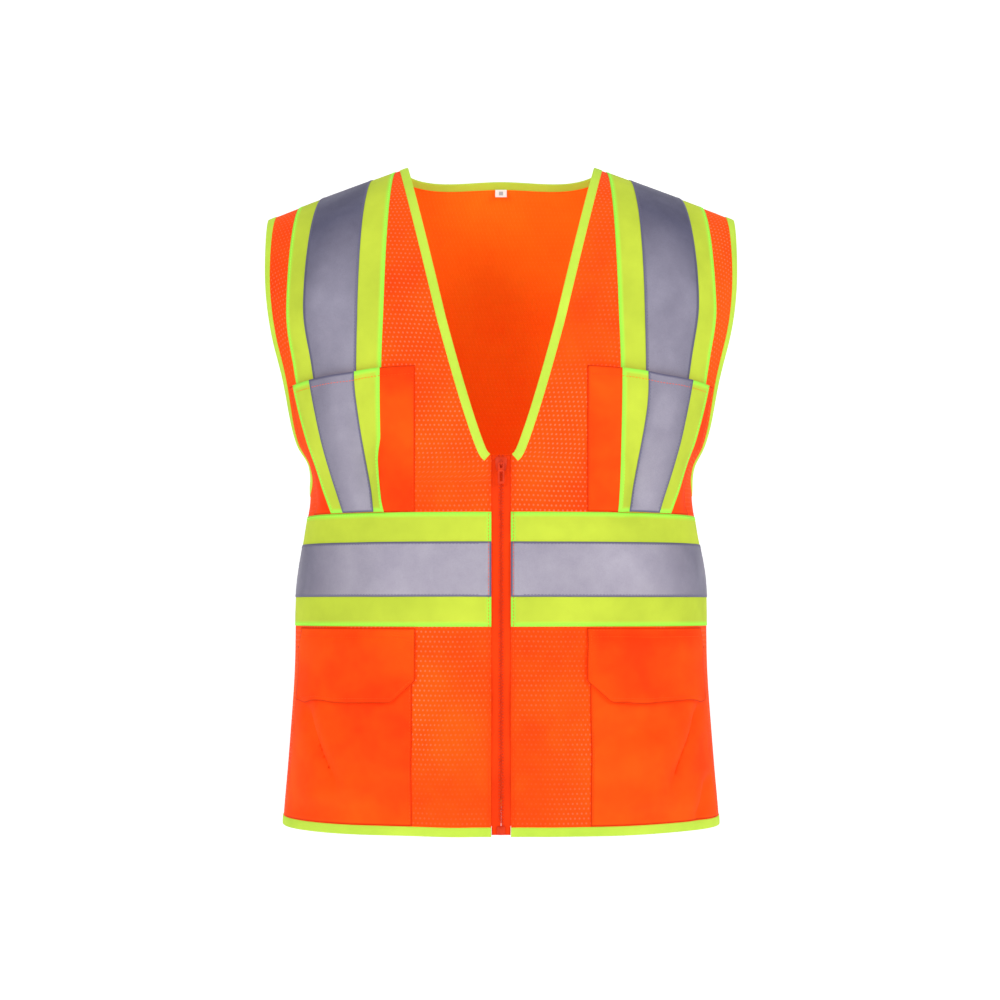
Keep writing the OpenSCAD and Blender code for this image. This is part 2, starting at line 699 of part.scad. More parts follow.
// The label hangs just below the lower edge of the neck binding
label_gap = 1.5;
label_set_back = 2.5;
label_y = neck_back_reach + label_set_back;
neck_edge = [BACK, 90, back_run(seam_run, 90)];
down_back = unit(surface_point(BACK, 90, neck_edge[2] - 1) - surface_point(BACK, 90, neck_edge[2]));
label_z = surface_point(BACK, 90, gone_in(neck_edge, down_back, binding_w)[2])[2] - label_gap;

module size_label() {
    color("white") translate([-label_w / 2, label_y, label_z - label_l]) cube([label_w, 0.4, label_l]);
}

back_panel();
front_panel("left");  // left_front_panel
front_panel("right");  // right_front_panel
neck_binding();
armhole_binding("left");  // left_armhole_binding
armhole_binding("right");  // right_armhole_binding
hem_binding();
front_waist_contrast("left");  // left_waist_contrast
front_waist_contrast("right");  // right_waist_contrast
back_waist_contrast();
front_waist_reflective("left");  // left_waist_reflective
front_waist_reflective("right");  // right_waist_reflective
back_waist_reflective();
strap_contrast("left");  // left_strap_contrast
strap_contrast("right");  // right_strap_contrast
strap_reflective("left");  // left_strap_reflective
strap_reflective("right");  // right_strap_reflective
back_strap_contrast("left");  // left_back_strap_contrast
back_strap_contrast("right");  // right_back_strap_contrast
back_strap_reflective("left");  // left_back_strap_reflective
back_strap_reflective("right");  // right_back_strap_reflective
chest_pocket("left");  // left_chest_pocket
chest_pocket("right");  // right_chest_pocket
chest_pocket_contrast("left");  // left_chest_pocket_contrast
chest_pocket_contrast("right");  // right_chest_pocket_contrast
chest_pocket_reflective("left");  // left_chest_pocket_reflective
chest_pocket_reflective("right");  // right_chest_pocket_reflective
lower_pocket("left");  // left_lower_pocket
lower_pocket("right");  // right_lower_pocket
pocket_flap("left");  // left_pocket_flap
pocket_flap("right");  // right_pocket_flap
loop_patch("left");  // left_loop_patch
loop_patch("right");  // right_loop_patch
hook_patch("left");  // left_hook_patch
hook_patch("right");  // right_hook_patch
zip_tape("left");  // left_zip_tape
zip_tape("right");  // right_zip_tape
zip_teeth("left");  // left_zip_teeth
zip_teeth("right");  // right_zip_teeth
zip_top_stops();
zip_slider();
zip_pull();
zip_box();
zip_pin();
size_label();
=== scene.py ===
"""High visibility vest, worn and filled out. Metres, +Z up, front towards -Y.

Every cloth piece is a grid of places on one body surface: an angle round the section
(0 at +X, 90 at the middle of the front or back, 180 at -X), a run up from the hem and an
offset outwards. The surface carries the drape, so all the layers fold together.
"""
import math

import bpy
import numpy as np
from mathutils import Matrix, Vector


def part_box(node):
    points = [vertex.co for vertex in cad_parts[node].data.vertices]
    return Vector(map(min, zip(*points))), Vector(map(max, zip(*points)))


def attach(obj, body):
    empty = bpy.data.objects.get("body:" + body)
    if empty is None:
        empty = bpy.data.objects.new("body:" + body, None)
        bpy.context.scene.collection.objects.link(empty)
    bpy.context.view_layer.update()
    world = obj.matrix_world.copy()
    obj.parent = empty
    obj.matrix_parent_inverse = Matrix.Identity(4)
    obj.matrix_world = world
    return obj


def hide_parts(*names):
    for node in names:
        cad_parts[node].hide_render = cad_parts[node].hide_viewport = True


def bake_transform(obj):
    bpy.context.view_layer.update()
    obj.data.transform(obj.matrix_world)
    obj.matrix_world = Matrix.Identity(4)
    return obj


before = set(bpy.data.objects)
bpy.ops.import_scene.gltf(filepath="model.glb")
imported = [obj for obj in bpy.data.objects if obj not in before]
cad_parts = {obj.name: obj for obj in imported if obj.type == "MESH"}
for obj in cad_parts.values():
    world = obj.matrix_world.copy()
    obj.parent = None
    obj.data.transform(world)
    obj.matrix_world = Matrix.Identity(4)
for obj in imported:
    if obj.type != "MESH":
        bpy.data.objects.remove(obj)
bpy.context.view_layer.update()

FRONT, BACK = -1, 1
MM = 0.001

# ---- sizes of the body surface, as in the design ----
NECK_H = 0.648
TIP_H = 0.597
FRONT_DEPTH = 0.125
BACK_DEPTH = 0.115
ROUNDNESS = 2.5
UNDERARM_H = 0.326
CHEST_H = 0.480
ARMHOLE_GAP = 0.052
CHEST_HALF = 0.224
SHOULDER_HALF = 0.233
NECK_HALF = 0.094
NECK_REACH = 0.061
V_BOTTOM_H = 0.350
V_STEP = 0.003
V_BOW = 0.85
ZIP_REVEAL = 0.009
SHOULDER_RUN = 0.200
SEAM_RUN = CHEST_H + SHOULDER_RUN * 0.998
SLOPE = (NECK_H - TIP_H) / (SHOULDER_HALF - NECK_HALF)
BAND_H = 0.191
BORDER_W = 0.0275
SILVER_W = 0.051
BAND_TOP = BAND_H + 2 * BORDER_W + SILVER_W
HEM_Z = -NECK_H

SIDE_OUTLINE = [(0, 0.213), (0.075, 0.207), (0.170, 0.202), (0.222, 0.202), (0.294, 0.191),
                (UNDERARM_H, 0.188)]
ARMHOLE_OUTLINE = [(UNDERARM_H, 0.188), (UNDERARM_H + 0.012, 0.189), (0.375, 0.202),
                   (0.428, 0.211), (CHEST_H, CHEST_HALF), (0.535, 0.230),
                   (SEAM_RUN, SHOULDER_HALF)]
DEPTHS = {FRONT: [(0, FRONT_DEPTH), (V_BOTTOM_H, FRONT_DEPTH), (CHEST_H, FRONT_DEPTH - 0.007)],
          BACK: [(0, BACK_DEPTH), (0.240, BACK_DEPTH - 0.005), (CHEST_H, BACK_DEPTH)]}

# ---- layers: how far each one's inner face stands off the body surface ----
SHELL_T = 0.6 * MM
TAPE_T = 0.4 * MM
CONTRAST_OFF = 0.75 * MM
SILVER_OFF = 1.3 * MM
BINDING_W = 6.5 * MM


def smooth_lookup(value, table):
    """A cubic through the table's points whose slopes are the harmonic mean of the spans
    on either side, so that it never overshoots."""
    x, y = np.array(table, float).T
    span = np.diff(y) / np.diff(x)
    both = span[:-1] * span[1:]
    total = span[:-1] + span[1:]
    inner = np.where(both > 0, 2 * both / np.where(total == 0, 1, total), 0)
    slope = np.concatenate([span[:1], inner, span[-1:]])
    value = np.clip(value, x[0], x[-1])
    i = np.clip(np.searchsorted(x, value) - 1, 0, len(x) - 2)
    width = x[i + 1] - x[i]
    t = (value - x[i]) / width
    return ((1 + 2 * t) * (1 - t) ** 2 * y[i] + t * (1 - t) ** 2 * width * slope[i]
            + t * t * (3 - 2 * t) * y[i + 1] - t * t * (1 - t) * width * slope[i + 1])


def ease(low, high, value):
    """0 below low, 1 above high, and the smooth step 3t^2 - 2t^3 between."""
    t = np.clip((value - low) / (high - low), 0, 1)
    return t * t * (3 - 2 * t)


def signed_pow(value, power):
    return np.sign(value) * np.abs(value) ** power


def gap_at(run):
    """Half of the gap across the armhole: a quarter ellipse from the underarm to the chest."""
    t = np.maximum(0, CHEST_H - run) / (CHEST_H - UNDERARM_H)
    return np.where(run <= UNDERARM_H, 0, ARMHOLE_GAP * np.sqrt(np.clip(1 - t * t, 0, 1)))


def width_table(side):
    """Half-widths of the sections every millimetre, eased with a bell curve so that no
    crease shows at the underarm or the chest."""
    reach = 0.05
    run = np.arange(-reach, SEAM_RUN + reach, MM)
    held = np.clip(run, 0, SEAM_RUN)
    depth = smooth_lookup(held, DEPTHS[side])
    flare = (1 - (gap_at(held) / depth) ** ROUNDNESS) ** (1 / ROUNDNESS)
    width = np.where(held <= UNDERARM_H, smooth_lookup(held, SIDE_OUTLINE),
                     smooth_lookup(held, ARMHOLE_OUTLINE) / flare)
    bell = np.exp(-0.5 * (np.arange(-40, 41) / 13) ** 2)
    return run, np.convolve(np.pad(width, 40, "edge"), bell / bell.sum(), "valid")


WIDTHS = {side: width_table(side) for side in (FRONT, BACK)}


def half_width_at(side, run):
    return np.interp(run, *WIDTHS[side])


def depth_at(side, run):
    return smooth_lookup(np.minimum(run, CHEST_H), DEPTHS[side])


def arc_of(run):
    return np.pi / 2 * np.maximum(0, run - CHEST_H) / SHOULDER_RUN


def bare_point(side, angle, run):
    """The undraped surface: a superellipse section at each height, closed over the
    shoulder by a quarter ellipse that ends on the seam line. That slopes down outside the
    neck and rounds over inside it, as 1 - 2s^2 + s^3."""
    turn = np.radians(angle)
    arc = arc_of(run)
    x = half_width_at(side, run) * signed_pow(np.cos(turn), 2 / ROUNDNESS)
    y = side * depth_at(side, run) * signed_pow(np.sin(turn), 2 / ROUNDNESS) * np.cos(arc)
    share = np.abs(x) / NECK_HALF
    crown = np.where(share >= 1, 1 - share, 1 - 2 * share ** 2 + share ** 3)
    seam = NECK_H + SLOPE * NECK_HALF * crown
    z = np.minimum(run, CHEST_H) + (seam - CHEST_H) * np.sin(arc) - NECK_H
    return np.stack(np.broadcast_arrays(x, y, z), -1)


def normal_of(point_at, side, angle, run):
    """Outward normal: the cross product of the steps round the section and up the run."""
    d_angle = point_at(side, angle + 0.3, run) - point_at(side, angle - 0.3, run)
    d_run = point_at(side, angle, run + MM) - point_at(side, angle, run - MM)
    n = side * np.cross(d_angle, d_run)
    return n / np.linalg.norm(n, axis=-1, keepdims=True)


def ridge(x, h, start, end, width, lift):
    """A soft fold: a bell across the line from start to end (x, height), which fades at
    both of its ends."""
    a, b = np.array(start), np.array(end)
    along = (b - a) / np.linalg.norm(b - a)
    t = ((x - a[0]) * along[0] + (h - a[1]) * along[1]) / np.linalg.norm(b - a)
    off = (x - a[0]) * along[1] - (h - a[1]) * along[0]
    fade = ease(-0.15, 0.2, t) * (1 - ease(0.75, 1.15, t))
    return lift * np.exp(-0.5 * (off / width) ** 2) * fade


# Folds of the front: start, end, width and lift, in millimetres, at x and height
FRONT_FOLDS = [
    ((-182, 118), (-150, 40), 5, -2.6), ((-170, 112), (-128, 30), 9, 1.6),
    ((186, 118), (158, 46), 4, -2.4), ((172, 110), (132, 24), 10, 1.4),
    ((100, 60), (170, 86), 11, 1.6), ((96, 92), (150, 96), 9, -1.4),
    ((196, 50), (186, 8), 4, -2.0), ((-100, 66), (-160, 84), 12, 1.3),
    ((-60, 20), (-20, 150), 16, 1.2), ((60, 10), (24, 140), 15, 1.1),
    ((-28, 330), (-80, 470), 14, 1.6), ((30, 330), (86, 470), 14, 1.4),
    ((-120, 300), (-140, 420), 10, -2.2), ((122, 300), (150, 420), 10, -2.0),
    ((-104, 298), (-108, 360), 5, 2.2), ((110, 298), (112, 350), 5, 1.8),
    ((-180, 300), (-196, 360), 6, -1.8), ((178, 300), (190, 360), 6, -1.6),
    ((-200, 236), (-120, 240), 18, -1.4), ((60, 222), (190, 246), 14, 0.9),
    ((-100, 205), (-20, 208), 8, 0.8), ((20, 284), (150, 286), 7, 0.8),
    ((40, 180), (130, 172), 8, 1.0), ((-26, 150), (-84, 44), 8, 1.6), ((34, 152), (90, 50), 9, 1.4),
    ((-150, 118), (-116, 16), 12, -1.5), ((-184, 30), (-110, 46), 7, 1.3),
    ((120, 114), (168, 70), 9, -1.3), ((104, 34), (190, 26), 8, 1.2), ((-190, 460), (-150, 600), 16, 1.6),
    ((196, 470), (150, 600), 16, 1.5)]
BACK_FOLDS = [
    ((-60, 20), (-90, 160), 14, 1.8), ((70, 10), (96, 170), 15, 1.8), ((0, 10), (8, 150), 16, 1.4),
    ((-150, 20), (-140, 150), 14, 1.8), ((156, 20), (140, 160), 14, 1.6),
    ((-40, 310), (-150, 420), 16, 2.0), ((40, 310), (150, 430), 16, 2.0),
    ((-10, 330), (-20, 500), 22, 1.4), ((-180, 300), (-120, 340), 10, -1.6),
    ((180, 300), (120, 345), 10, -1.6), ((-60, 560), (60, 566), 16, 1.6)]


FOLD_DEPTH = 2.4


def drape(side, x, y, h):
    """How far the cloth stands off the bare surface: the folds, which fade towards the
    side and shoulder seams, and flutes that widen towards the hem."""
    lift = np.zeros(np.broadcast(x, h).shape)
    for start, end, width, rise in FRONT_FOLDS if side == FRONT else BACK_FOLDS:
        lift = lift + FOLD_DEPTH * MM * ridge(x / MM, h / MM, start, end, width, rise)
    lift = lift * ease(0.002, 0.030, np.abs(y))
    round_angle = np.arctan2(y, x)
    flute = np.cos(7 * round_angle + 0.6) + 0.7 * np.cos(11 * round_angle + 2.1)
    free = (1 - ease(0.02, 0.17, h)) * ease(0.01, 0.04, np.abs(x)) * ease(0.01, 0.07, np.abs(y))
    return lift + 1.5 * MM * flute * free


def draped_point(side, angle, run):
    bare = bare_point(side, angle, run)
    lift = drape(side, bare[..., 0], bare[..., 1], bare[..., 2] + NECK_H)
    return bare + lift[..., None] * normal_of(bare_point, side, angle, run)


def on_body(side, angle, run, offset):
    offset = np.broadcast_to(offset, np.broadcast(angle, run).shape)
    return draped_point(side, angle, run) + offset[..., None] * normal_of(
        draped_point, side, angle, run)


def angle_at_x(side, x, run):
    share = np.clip(x / half_width_at(side, run), -1, 1)
    return np.degrees(np.arccos(signed_pow(share, ROUNDNESS / 2)))


def outer_angle(side, run):
    """The angle of the side seam, and above the underarm that of the armhole edge."""
    gap = np.maximum(0.1 * MM, gap_at(run))
    return np.degrees(np.arcsin((gap / depth_at(side, run)) ** (ROUNDNESS / 2)))


def front_edge_x(run):
    """The inner edge of a front: straight along the zip, then bowed out up the V."""
    rise = np.where(run <= CHEST_H, run, CHEST_H + (NECK_H - CHEST_H) * np.sin(arc_of(run)))
    share = np.clip((rise - V_BOTTOM_H) / (NECK_H - V_BOTTOM_H), 0, 1)
    foot = ZIP_REVEAL + V_STEP * ease(V_BOTTOM_H - 0.004, V_BOTTOM_H + 0.004, run)
    return foot + (NECK_HALF - ZIP_REVEAL - V_STEP) * share ** V_BOW


def back_run(run, angle):
    """Squeezes the runs over the shoulder so that the back ends on the neck's half oval."""
    full = bare_point(BACK, angle, CHEST_H)
    inside = np.sqrt(np.clip(1 - (full[..., 0] / NECK_HALF) ** 2, 0, 1))
    top = np.arccos(np.clip(NECK_REACH * inside / full[..., 1], 0, 1)) / (np.pi / 2)
    share = np.minimum(top, 0.998)
    return np.where(run <= CHEST_H, run,
                    CHEST_H + (run - CHEST_H) / (SEAM_RUN - CHEST_H) * share * SHOULDER_RUN)


# ---- meshes ----

def new_object(name, points, faces, uv=None, edge=None):
    mesh = bpy.data.meshes.new(name)
    mesh.from_pydata(points.reshape(-1, 3).tolist(), [], faces.tolist())
    mesh.polygons.foreach_set("use_smooth", np.ones(len(mesh.polygons), bool))
    if uv is not None:
        layer = mesh.uv_layers.new(name="cloth")
        corner = np.zeros(len(mesh.loops), np.int32)
        mesh.loops.foreach_get("vertex_index", corner)
        layer.data.foreach_set("uv", uv.reshape(-1, 2)[corner].astype(np.float32).ravel())
    if edge is not None:
        layer = mesh.uv_layers.new(name="edge")
        layer.data.foreach_set("uv", edge.reshape(-1, 2)[corner].astype(np.float32).ravel())
    mesh.update()
    obj = bpy.data.objects.new(name, mesh)
    bpy.context.scene.collection.objects.link(obj)
    return obj


def arc_lengths(points, start_u=0.0, start_v=0.0):
    """Cloth coordinates in metres: the distance across each row and up each column."""
    across = np.linalg.norm(np.diff(points, axis=1), axis=-1)
    up = np.linalg.norm(np.diff(points, axis=0), axis=-1)
    u = np.pad(np.cumsum(across, 1), ((0, 0), (1, 0))) + start_u
    v = np.pad(np.cumsum(up, 0), ((1, 0), (0, 0))) + start_v
    return np.stack([u, v], -1)


def edge_distances(points):
    """The distance in metres from each place of a grid to its nearer side edge, and to its
    nearer end."""
    u, v = np.moveaxis(arc_lengths(points), -1, 0)
    return np.stack([np.minimum(u, u[:, -1:] - u), np.minimum(v, v[-1:] - v)], -1)


def sheet_faces(rows, columns):
    """Quads of a closed sheet: the outer grid, the inner grid turned round, and a rim."""
    k = np.arange(rows * columns).reshape(rows, columns)
    inner = k + rows * columns

    def quads(a, b, c, d):
        return np.stack([a, b, c, d], -1).reshape(-1, 4)

    rim = [(k[0], inner[0]), (k[:, -1], inner[:, -1]), (k[-1, ::-1], inner[-1, ::-1]),
           (k[::-1, 0], inner[::-1, 0])]
    return np.concatenate(
        [quads(k[:-1, :-1], k[:-1, 1:], k[1:, 1:], k[1:, :-1]),
         quads(inner[:-1, :-1], inner[1:, :-1], inner[1:, 1:], inner[:-1, 1:])]
        + [quads(out[:-1], inn[:-1], inn[1:], out[1:]) for out, inn in rim])


SHEETS = {}


def cloth(name, side, angle, run, offset, thickness, start_u=0.0):
    """A closed sheet on the body. The grid's rows go up, and its columns go to the right
    as seen from outside."""
    angle, run = np.broadcast_arrays(angle, run)
    if angle[0, 0] < angle[0, -1] and side == FRONT or angle[0, 0] > angle[0, -1] and side == BACK:
        angle, run = angle[:, ::-1], run[:, ::-1]
        offset = np.broadcast_to(offset, run.shape)[:, ::-1]
    outer = on_body(side, angle, run, offset + thickness)
    inner = on_body(side, angle, run, offset)
    uv = arc_lengths(outer, start_u, run[0, 0])
    edge = edge_distances(outer)
    SHEETS[name] = angle.shape
    return new_object(name, np.concatenate([outer, inner]), sheet_faces(*angle.shape),
                      np.concatenate([uv, uv]), np.concatenate([edge, edge]))


def finish_piece(obj, material, body, nodes, slot):
    obj.data.materials.append(material)
    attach(obj, body)
    if nodes:
        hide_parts(*nodes)
    return obj


# ---- shading: groups that several materials share ----

def tint(code):
    """A colour written as six hex digits, in the linear values that a socket takes."""
    channels = [int(code[i:i + 2], 16) / 255 for i in (0, 2, 4)]
    return tuple(c / 12.92 if c <= 0.04045 else ((c + 0.055) / 1.055) ** 2.4
                 for c in channels) + (1.0,)


def add(tree, kind, inputs=None, **settings):
    node = tree.nodes.new(kind)
    for name, value in settings.items():
        setattr(node, name, value)
    for name, value in (inputs or {}).items():
        if isinstance(value, bpy.types.NodeSocket):
            tree.links.new(value, node.inputs[name])
        else:
            node.inputs[name].default_value = value
    return node


def maths(tree, operation, *values):
    return add(tree, "ShaderNodeMath", dict(enumerate(values)), operation=operation).outputs[0]


def new_group(name, inputs, outputs):
    """An empty node group with its sockets made, its input node and its output node."""
    group = bpy.data.node_groups.new(name, "ShaderNodeTree")
    for label, kind in inputs:
        group.interface.new_socket(label, in_out="INPUT", socket_type=kind)
    for label in outputs:
        group.interface.new_socket(label, in_out="OUTPUT", socket_type="NodeSocketFloat")
    return group, add(group, "NodeGroupInput").outputs, add(group, "NodeGroupOutput").inputs


def make_weave():
    """Plain weave: the height is the product of two sines across and along the threads,
    roughened by a fine noise."""
    group, source, out = new_group("weave", [("Cloth", "NodeSocketVector"),
                                             ("Threads per metre", "NodeSocketFloat")], ["Height"])
    split = add(group, "ShaderNodeSeparateXYZ", {0: source["Cloth"]})
    half_turns = maths(group, "MULTIPLY", source["Threads per metre"], math.pi)
    waves = [maths(group, "SINE", maths(group, "MULTIPLY", split.outputs[axis], half_turns))
             for axis in ("X", "Y")]
    fibre = add(group, "ShaderNodeTexNoise", {"Vector": source["Cloth"], "Detail": 2.0,
                                              "Scale": source["Threads per metre"]})
    weave = maths(group, "MULTIPLY_ADD", maths(group, "MULTIPLY", *waves), 0.5, 0.5)
    group.links.new(maths(group, "MULTIPLY_ADD", fibre.outputs["Fac"], 0.4, weave), out["Height"])
    return group


def make_mesh_holes():
    """Round holes in rows, each row shifted half a pitch from the one below."""
    group, source, out = new_group("mesh_holes", [("Cloth", "NodeSocketVector"),
                                                  ("Pitch", "NodeSocketFloat"),
                                                  ("Row height", "NodeSocketFloat")], ["Hole"])
    split = add(group, "ShaderNodeSeparateXYZ", {0: source["Cloth"]})
    v = maths(group, "DIVIDE", split.outputs["Y"], source["Row height"])
    odd = maths(group, "FLOORED_MODULO", maths(group, "FLOOR", v), 2.0)
    u = maths(group, "MULTIPLY_ADD", odd, 0.5,
              maths(group, "DIVIDE", split.outputs["X"], source["Pitch"]))
    cell = [maths(group, "SUBTRACT", maths(group, "FRACT", value), 0.5) for value in (u, v)]
    squares = [maths(group, "MULTIPLY", value, value) for value in cell]
    distance = maths(group, "SQRT", maths(group, "ADD", *squares))
    edge = add(group, "ShaderNodeMapRange", {"Value": distance, "From Min": 0.27, "From Max": 0.15},
               interpolation_type="SMOOTHSTEP")
    group.links.new(edge.outputs["Result"], out["Hole"])
    return group


def make_mottle():
    """Slow cloudy variation, from 0 to 1, for uneven dyeing, and on the orange cloths also for painted
    shade of soft folds.
    """
    group, source, out = new_group("mottle", [("Place", "NodeSocketVector"),
                                              ("Scale", "NodeSocketFloat")], ["Amount"])
    cloud = add(group, "ShaderNodeTexNoise", {"Vector": source["Place"], "Detail": 4.0,
                                              "Roughness": 0.6, "Scale": source["Scale"]})
    spread = add(group, "ShaderNodeMapRange", {"Value": cloud.outputs["Fac"], "From Min": 0.35,
                                               "From Max": 0.65})
    group.links.new(spread.outputs["Result"], out["Amount"])
    return group


WEAVE = make_weave()
MESH_HOLES = make_mesh_holes()
MOTTLE = make_mottle()


def use(tree, group, inputs):
    node = add(tree, "ShaderNodeGroup", node_tree=group)
    for name, value in inputs.items():
        if isinstance(value, bpy.types.NodeSocket):
            tree.links.new(value, node.inputs[name])
        else:
            node.inputs[name].default_value = value
    return node.outputs


# ---- materials ----

def new_material(name, roughness, glow=0.0, **settings):
    """A material with its Principled shader; settings name the shader's own sockets."""
    material = bpy.data.materials.new(name)
    material.use_nodes = True
    tree = material.node_tree
    shader = tree.nodes["Principled BSDF"]
    shader.inputs["Roughness"].default_value = roughness
    shader.inputs["Emission Strength"].default_value = glow
    for socket, value in settings.items():
        shader.inputs[socket.replace("_", " ")].default_value = value
    return material, tree, shader


def cloth_place(tree):
    return add(tree, "ShaderNodeUVMap", uv_map="cloth").outputs["UV"]


def object_place(tree):
    return add(tree, "ShaderNodeTexCoord").outputs["Object"]


def colour_mix(tree, amount, low, high, blend="MIX"):
    node = add(tree, "ShaderNodeMix", data_type="RGBA", blend_type=blend)
    for socket, value in ((0, amount), (6, low), (7, high)):
        if isinstance(value, bpy.types.NodeSocket):
            tree.links.new(value, node.inputs[socket])
        else:
            node.inputs[socket].default_value = value
    return node.outputs[2]


def paint(tree, shader, colour, height=None, depth=0.0, distance=MM):
    """Links a colour to the shader's base and glow, and a height through a bump."""
    tree.links.new(colour, shader.inputs["Base Color"])
    if shader.inputs["Emission Strength"].default_value > 0:
        tree.links.new(colour, shader.inputs["Emission Color"])
    if height is not None:
        bump = add(tree, "ShaderNodeBump", {"Height": height, "Strength": depth,
                                            "Distance": distance})
        tree.links.new(bump.outputs["Normal"], shader.inputs["Normal"])


def near_edge(tree, near, far, axis=None):
    """1 within near of a sheet's edge and 0 beyond far; axis keeps only one pair of edges."""
    split = add(tree, "ShaderNodeSeparateXYZ",
                {0: add(tree, "ShaderNodeUVMap", uv_map="edge").outputs["UV"]})
    away = split.outputs[axis] if axis else maths(tree, "MINIMUM", split.outputs["X"],
                                                  split.outputs["Y"])
    return add(tree, "ShaderNodeMapRange", {"Value": away, "From Min": near, "From Max": far,
                                            "To Min": 1.0, "To Max": 0.0},
               interpolation_type="SMOOTHSTEP").outputs["Result"]


def plain_cloth(name, light, dark, threads, roughness=0.8, glow=0.1, depth=0.5, patches=14.0,
                edge_tint_and_shade=None, **settings):
    """Close woven or knitted cloth: a weave in its height and uneven cloudy dyeing, whose darker cloud on
    the orange knit is also painted shade of soft folds. The rim setting is the colour of a sheet's rim,
    on the orange knit painted shadow along its edges, and the distances at which it begins and ends to
    fade."""
    settings = {"Specular_IOR_Level": 0.12, **settings}
    material, tree, shader = new_material(name, roughness, glow, **settings)
    weave = use(tree, WEAVE, {"Cloth": cloth_place(tree), "Threads per metre": threads})["Height"]
    cloud = use(tree, MOTTLE, {"Place": object_place(tree), "Scale": patches})["Amount"]
    dye_and_painted_shade = colour_mix(tree, cloud, tint(light), tint(dark))
    # The rim colour: a lighter green on the lime tape, painted shadow on the orange knit.
    if edge_tint_and_shade:
        code, near, far = edge_tint_and_shade
        dye_and_painted_shade = colour_mix(tree, near_edge(tree, near, far), dye_and_painted_shade, tint(code))
    shade = add(tree, "ShaderNodeMapRange", {"Value": weave, "To Min": 0.86, "To Max": 1.02})
    colour = colour_mix(tree, 1.0, dye_and_painted_shade, shade.outputs["Result"], "MULTIPLY")
    paint(tree, shader, colour, weave, depth, 0.3 * MM)
    return material


def mesh_cloth():
    """Orange knitted mesh: rows of small holes that show pale, in drifts, and fainter on the
    back, whose lighter orange is painted light on its shaded inside."""
    material, tree, shader = new_material("orange_mesh", 0.82, 0.1, Specular_IOR_Level=0.12)
    place = cloth_place(tree)
    hole = use(tree, MESH_HOLES, {"Cloth": place, "Pitch": 4.2 * MM, "Row height": 4.5 * MM})["Hole"]
    knit = use(tree, WEAVE, {"Cloth": place, "Threads per metre": 950.0})["Height"]
    cloud = use(tree, MOTTLE, {"Place": object_place(tree), "Scale": 9.0})["Amount"]
    # Painted shade: the darker orange of the cloud stands partly for soft folds.
    dye_and_painted_shade = colour_mix(tree, cloud, tint("ff5408"), tint("f84004"))
    # Painted light: a lighter copy of the orange for the back, whose inside lies in shade.
    inside = colour_mix(tree, cloud, tint("ff7c12"), tint("ff6e0e"))
    drift = use(tree, MOTTLE, {"Place": object_place(tree), "Scale": 6.0})["Amount"]
    split = add(tree, "ShaderNodeSeparateXYZ", {0: object_place(tree)})
    on_front = add(tree, "ShaderNodeMapRange", {"Value": split.outputs["Y"], "From Min": -0.03,
                                                "From Max": 0.03, "To Min": 1.0, "To Max": 0.15})
    patch = maths(tree, "MULTIPLY", maths(tree, "MULTIPLY_ADD", drift, 0.20, 0.02),
                  on_front.outputs["Result"])
    dye_and_painted_shade = colour_mix(tree, on_front.outputs["Result"], inside, dye_and_painted_shade)
    colour = colour_mix(tree, maths(tree, "MULTIPLY", hole, patch), dye_and_painted_shade, tint("ffc09a"))
    height = maths(tree, "MULTIPLY_ADD", hole, -0.5, maths(tree, "MULTIPLY", knit, 0.35))
    paint(tree, shader, colour, height, 0.55, 0.5 * MM)
    return material


def reflective_cloth():
    """Silver tape: fine glass beads on grey cloth, which send light back where it came from.
    Its colour carries painted shade: darker as the tape turns away over the shoulders and to the sides."""
    material, tree, shader = new_material("reflective_silver", 0.5, 0.0, Metallic=0.12,
                                          Specular_IOR_Level=0.2)
    place = cloth_place(tree)
    beads = add(tree, "ShaderNodeTexVoronoi", {"Vector": place, "Scale": 2600.0})
    grain = use(tree, WEAVE, {"Cloth": place, "Threads per metre": 1400.0})["Height"]
    cloud = use(tree, MOTTLE, {"Place": object_place(tree), "Scale": 26.0})["Amount"]
    split = add(tree, "ShaderNodeSeparateXYZ", {0: object_place(tree)})
    # Painted shade: the colour darkens from the waist up to the shoulders.
    turned = add(tree, "ShaderNodeMapRange", {"Value": split.outputs["Z"], "From Min": -0.46,
                                              "From Max": 0.06})
    # Painted shade: darker where the surface faces to the side, away from the front.
    facing = add(tree, "ShaderNodeSeparateXYZ",
                 {0: add(tree, "ShaderNodeNewGeometry").outputs["Normal"]})
    painted_side_shade = add(tree, "ShaderNodeMapRange", {"Value": maths(tree, "ABSOLUTE", facing.outputs["Y"]),
                                             "From Min": 0.95, "From Max": 0.5, "To Max": 0.55})
    # The low tone is the lit tape and the high tone its painted shaded copy.
    low = colour_mix(tree, cloud, tint("b0aab8"), tint("a49eae"))
    high = colour_mix(tree, cloud, tint("62617a"), tint("58576f"))
    away = maths(tree, "ADD", turned.outputs["Result"], painted_side_shade.outputs["Result"])
    tone = colour_mix(tree, away, low, high)
    tone = colour_mix(tree, near_edge(tree, 0.6 * MM, 2.4 * MM), tone, tint("6c6a86"))
    glitter = add(tree, "ShaderNodeMapRange", {"Value": beads.outputs["Distance"], "From Max": 0.8,
                                               "To Min": 1.08, "To Max": 0.86})
    colour = colour_mix(tree, 1.0, tone, glitter.outputs["Result"], "MULTIPLY")
    rough = add(tree, "ShaderNodeMapRange", {"Value": cloud, "To Min": 0.46, "To Max": 0.58})
    tree.links.new(rough.outputs["Result"], shader.inputs["Roughness"])
    paint(tree, shader, colour, grain, 0.25, 0.15 * MM)
    return material


